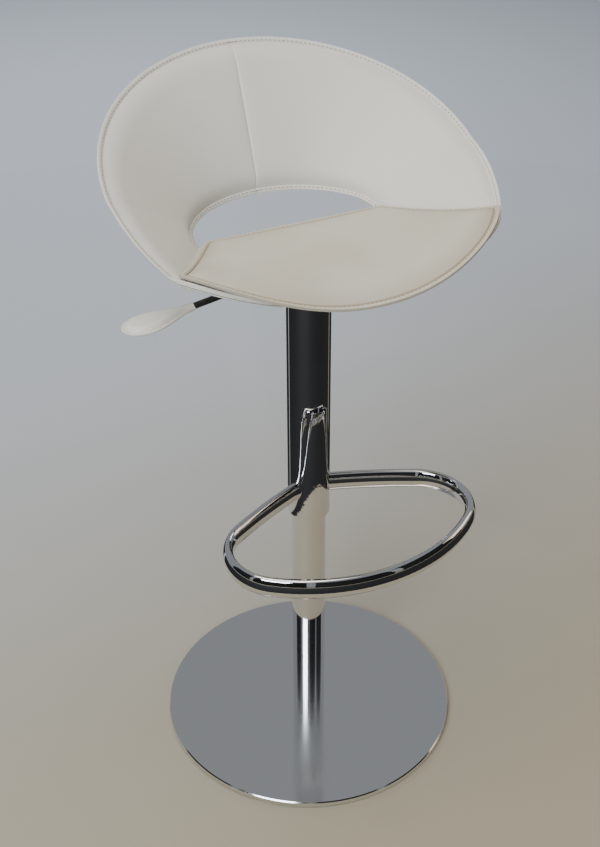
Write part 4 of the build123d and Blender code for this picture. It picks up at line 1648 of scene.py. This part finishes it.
@dataclass
class Base:
    """The polished plate, the stand tube on it and what holds them together."""

    steel: tuple[str, ...] = ("foot_plug", "base_screws", "rod_support_disc", "lower_race")

    def build(self) -> None:
        """Dresses the parts."""
        dress("base_plate", PLATE_POLISH)
        dress("stand_tube", TUBE_CHROME)
        dress("floor_pad", BLACK_RUBBER)
        dress("guide_bush", BLACK_NYLON)
        for node in self.steel:
            dress(node, ZINC_STEEL)


# ---- Studio ---------------------------------------------------------------------


class Lamp(Enum):
    """The soft lights: where each stands, its size, its power and its colour.

    The backdrop's light hangs straight over the far floor, and no mirror shows it.
    """

    OVERHEAD = ((-0.6, -0.3, 3.2), 2.0, 36.0, (1.0, 0.93, 0.78))
    WINDOW = ((-2.5, -1.9, 2.2), 1.6, 78.0, (0.84, 0.92, 1.0))
    WARM_FILL = ((2.8, -0.6, 1.3), 1.4, 8.0, (1.0, 0.82, 0.62))
    BACKDROP = ((0.9, 3.4, 2.6), 2.6, 52.0, (0.86, 0.92, 1.0))


@dataclass
class Setting:
    """The floor, the lights, the dark cards that the chrome mirrors, and the camera."""

    floor_size: float = 30.0
    eye: tuple[float, float, float] = (-0.6526, -1.2273, 1.409)
    heading: float = 28.0
    tilt_down: float = 32.41
    lens: float = 50.24
    sensor: float = 36.0
    shift_x: float = -0.0102
    lit_height: float = 0.6
    world_tone: Colour = (0.80, 0.84, 0.90)
    world_power: float = 0.34
    card_reach: tuple[float, float] = (0.60, 2.6)
    card_lift: float = 1.0 * MM
    card_steps: int = 25
    cards: tuple[tuple[float, float], ...] = ((-198.0, -153.0), (-148.0, 96.0),
                                              (101.0, 158.0))
    screens: tuple[tuple[float, float], ...] = ((-122.0, -84.0), (-78.0, -28.0), (-23.0, 22.0),
                                                (28.0, 74.0))
    screen_distance: float = 3.5
    screen_foot: float = 20.0 * MM
    screen_height: float = 3.4

    def floor(self) -> None:
        """A plain pale floor."""
        half = self.floor_size / 2
        mesh = bpy.data.meshes.new("floor")
        corners = [(-half, -half, 0.0), (half, -half, 0.0), (half, half, 0.0), (-half, half, 0.0)]
        mesh.from_pydata(corners, [], [(0, 1, 2, 3)])
        mesh.materials.append(Studio().material())
        new_object("floor", mesh)

    def dark_cards(self) -> None:
        """Dark mats and screens that only the chrome sees, with light gaps between."""
        for number, (start, end) in enumerate(self.cards):
            near, far = self.card_reach
            turns = np.radians(np.linspace(start, end, self.card_steps))
            ring = np.stack([np.sin(turns), -np.cos(turns)], axis=1)
            places = [(*spot, self.card_lift) for spot in np.vstack([ring * near, ring[::-1] * far])]
            self.card(f"mat_{number}", places)
        for number, (start, end) in enumerate(self.screens):
            turns = np.radians([start, end])
            foot = np.stack([np.sin(turns), -np.cos(turns)], axis=1) * self.screen_distance
            places = [(*spot, self.screen_foot) for spot in foot]
            places += [(*spot, self.screen_height) for spot in foot[::-1]]
            self.card(f"screen_{number}", places)

    def card(self, name: str, places: Sequence[tuple[float, ...]]) -> None:
        """Places one dark card that shows only in mirrors.

        Args:
            name: The card's name.
            places: Its corners.
        """
        mesh = bpy.data.meshes.new(name)
        mesh.from_pydata([tuple(map(float, spot)) for spot in places], [], [range(len(places))])
        mesh.materials.append(Flat().material())
        card = new_object(name, mesh)
        for ray in ("camera", "diffuse", "transmission", "shadow"):
            setattr(card, f"visible_{ray}", False)

    def lights(self) -> None:
        """Large soft lights and an even pale sky."""
        target = Vector((0.0, 0.0, self.lit_height))
        for lamp in Lamp:
            place, size, power, colour = lamp.value
            light = bpy.data.lights.new(lamp.name.lower(), "AREA")
            light.size = size
            light.energy = power
            light.color = colour
            holder = bpy.data.objects.new(light.name, light)
            bpy.context.scene.collection.objects.link(holder)
            holder.location = place
            holder.visible_glossy = lamp is not Lamp.BACKDROP
            aim = Vector((0.0, 0.0, -1.0)) if lamp is Lamp.BACKDROP else target - Vector(place)
            holder.rotation_euler = aim.to_track_quat("-Z", "Y").to_euler()
        world = bpy.data.worlds.new("studio_sky")
        world.use_nodes = True
        sky = world.node_tree.nodes["Background"]
        sky.inputs["Color"].default_value = opaque(self.world_tone)
        sky.inputs["Strength"].default_value = self.world_power
        bpy.context.scene.world = world

    def camera(self) -> None:
        """The camera, in front, to the sitter's right and above."""
        data = bpy.data.cameras.new("camera")
        data.lens = self.lens
        data.sensor_width = self.sensor
        data.shift_x = self.shift_x
        holder = bpy.data.objects.new("camera", data)
        bpy.context.scene.collection.objects.link(holder)
        holder.location = self.eye
        holder.rotation_euler = (math.radians(90.0 - self.tilt_down), 0.0, -math.radians(self.heading))
        bpy.context.scene.camera = holder

    def build(self) -> None:
        """Sets the scene."""
        self.floor()
        self.dark_cards()
        self.lights()
        self.camera()


def main() -> None:
    """Builds the stool from the floor up, then its setting."""
    logging.basicConfig(level=logging.INFO, format="%(message)s")
    form = SeatForm(seat_z=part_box("mechanism_plate")[1][2] + PLATE_TO_SEAT)
    for assembly in (Base(), Column(), Mechanism(), SeatPan(form), Backrest(form), Handle()):
        LOG.info("building %s", type(assembly).__name__)
        assembly.build()
    Setting().build()


if __name__ == "__main__":
    main()
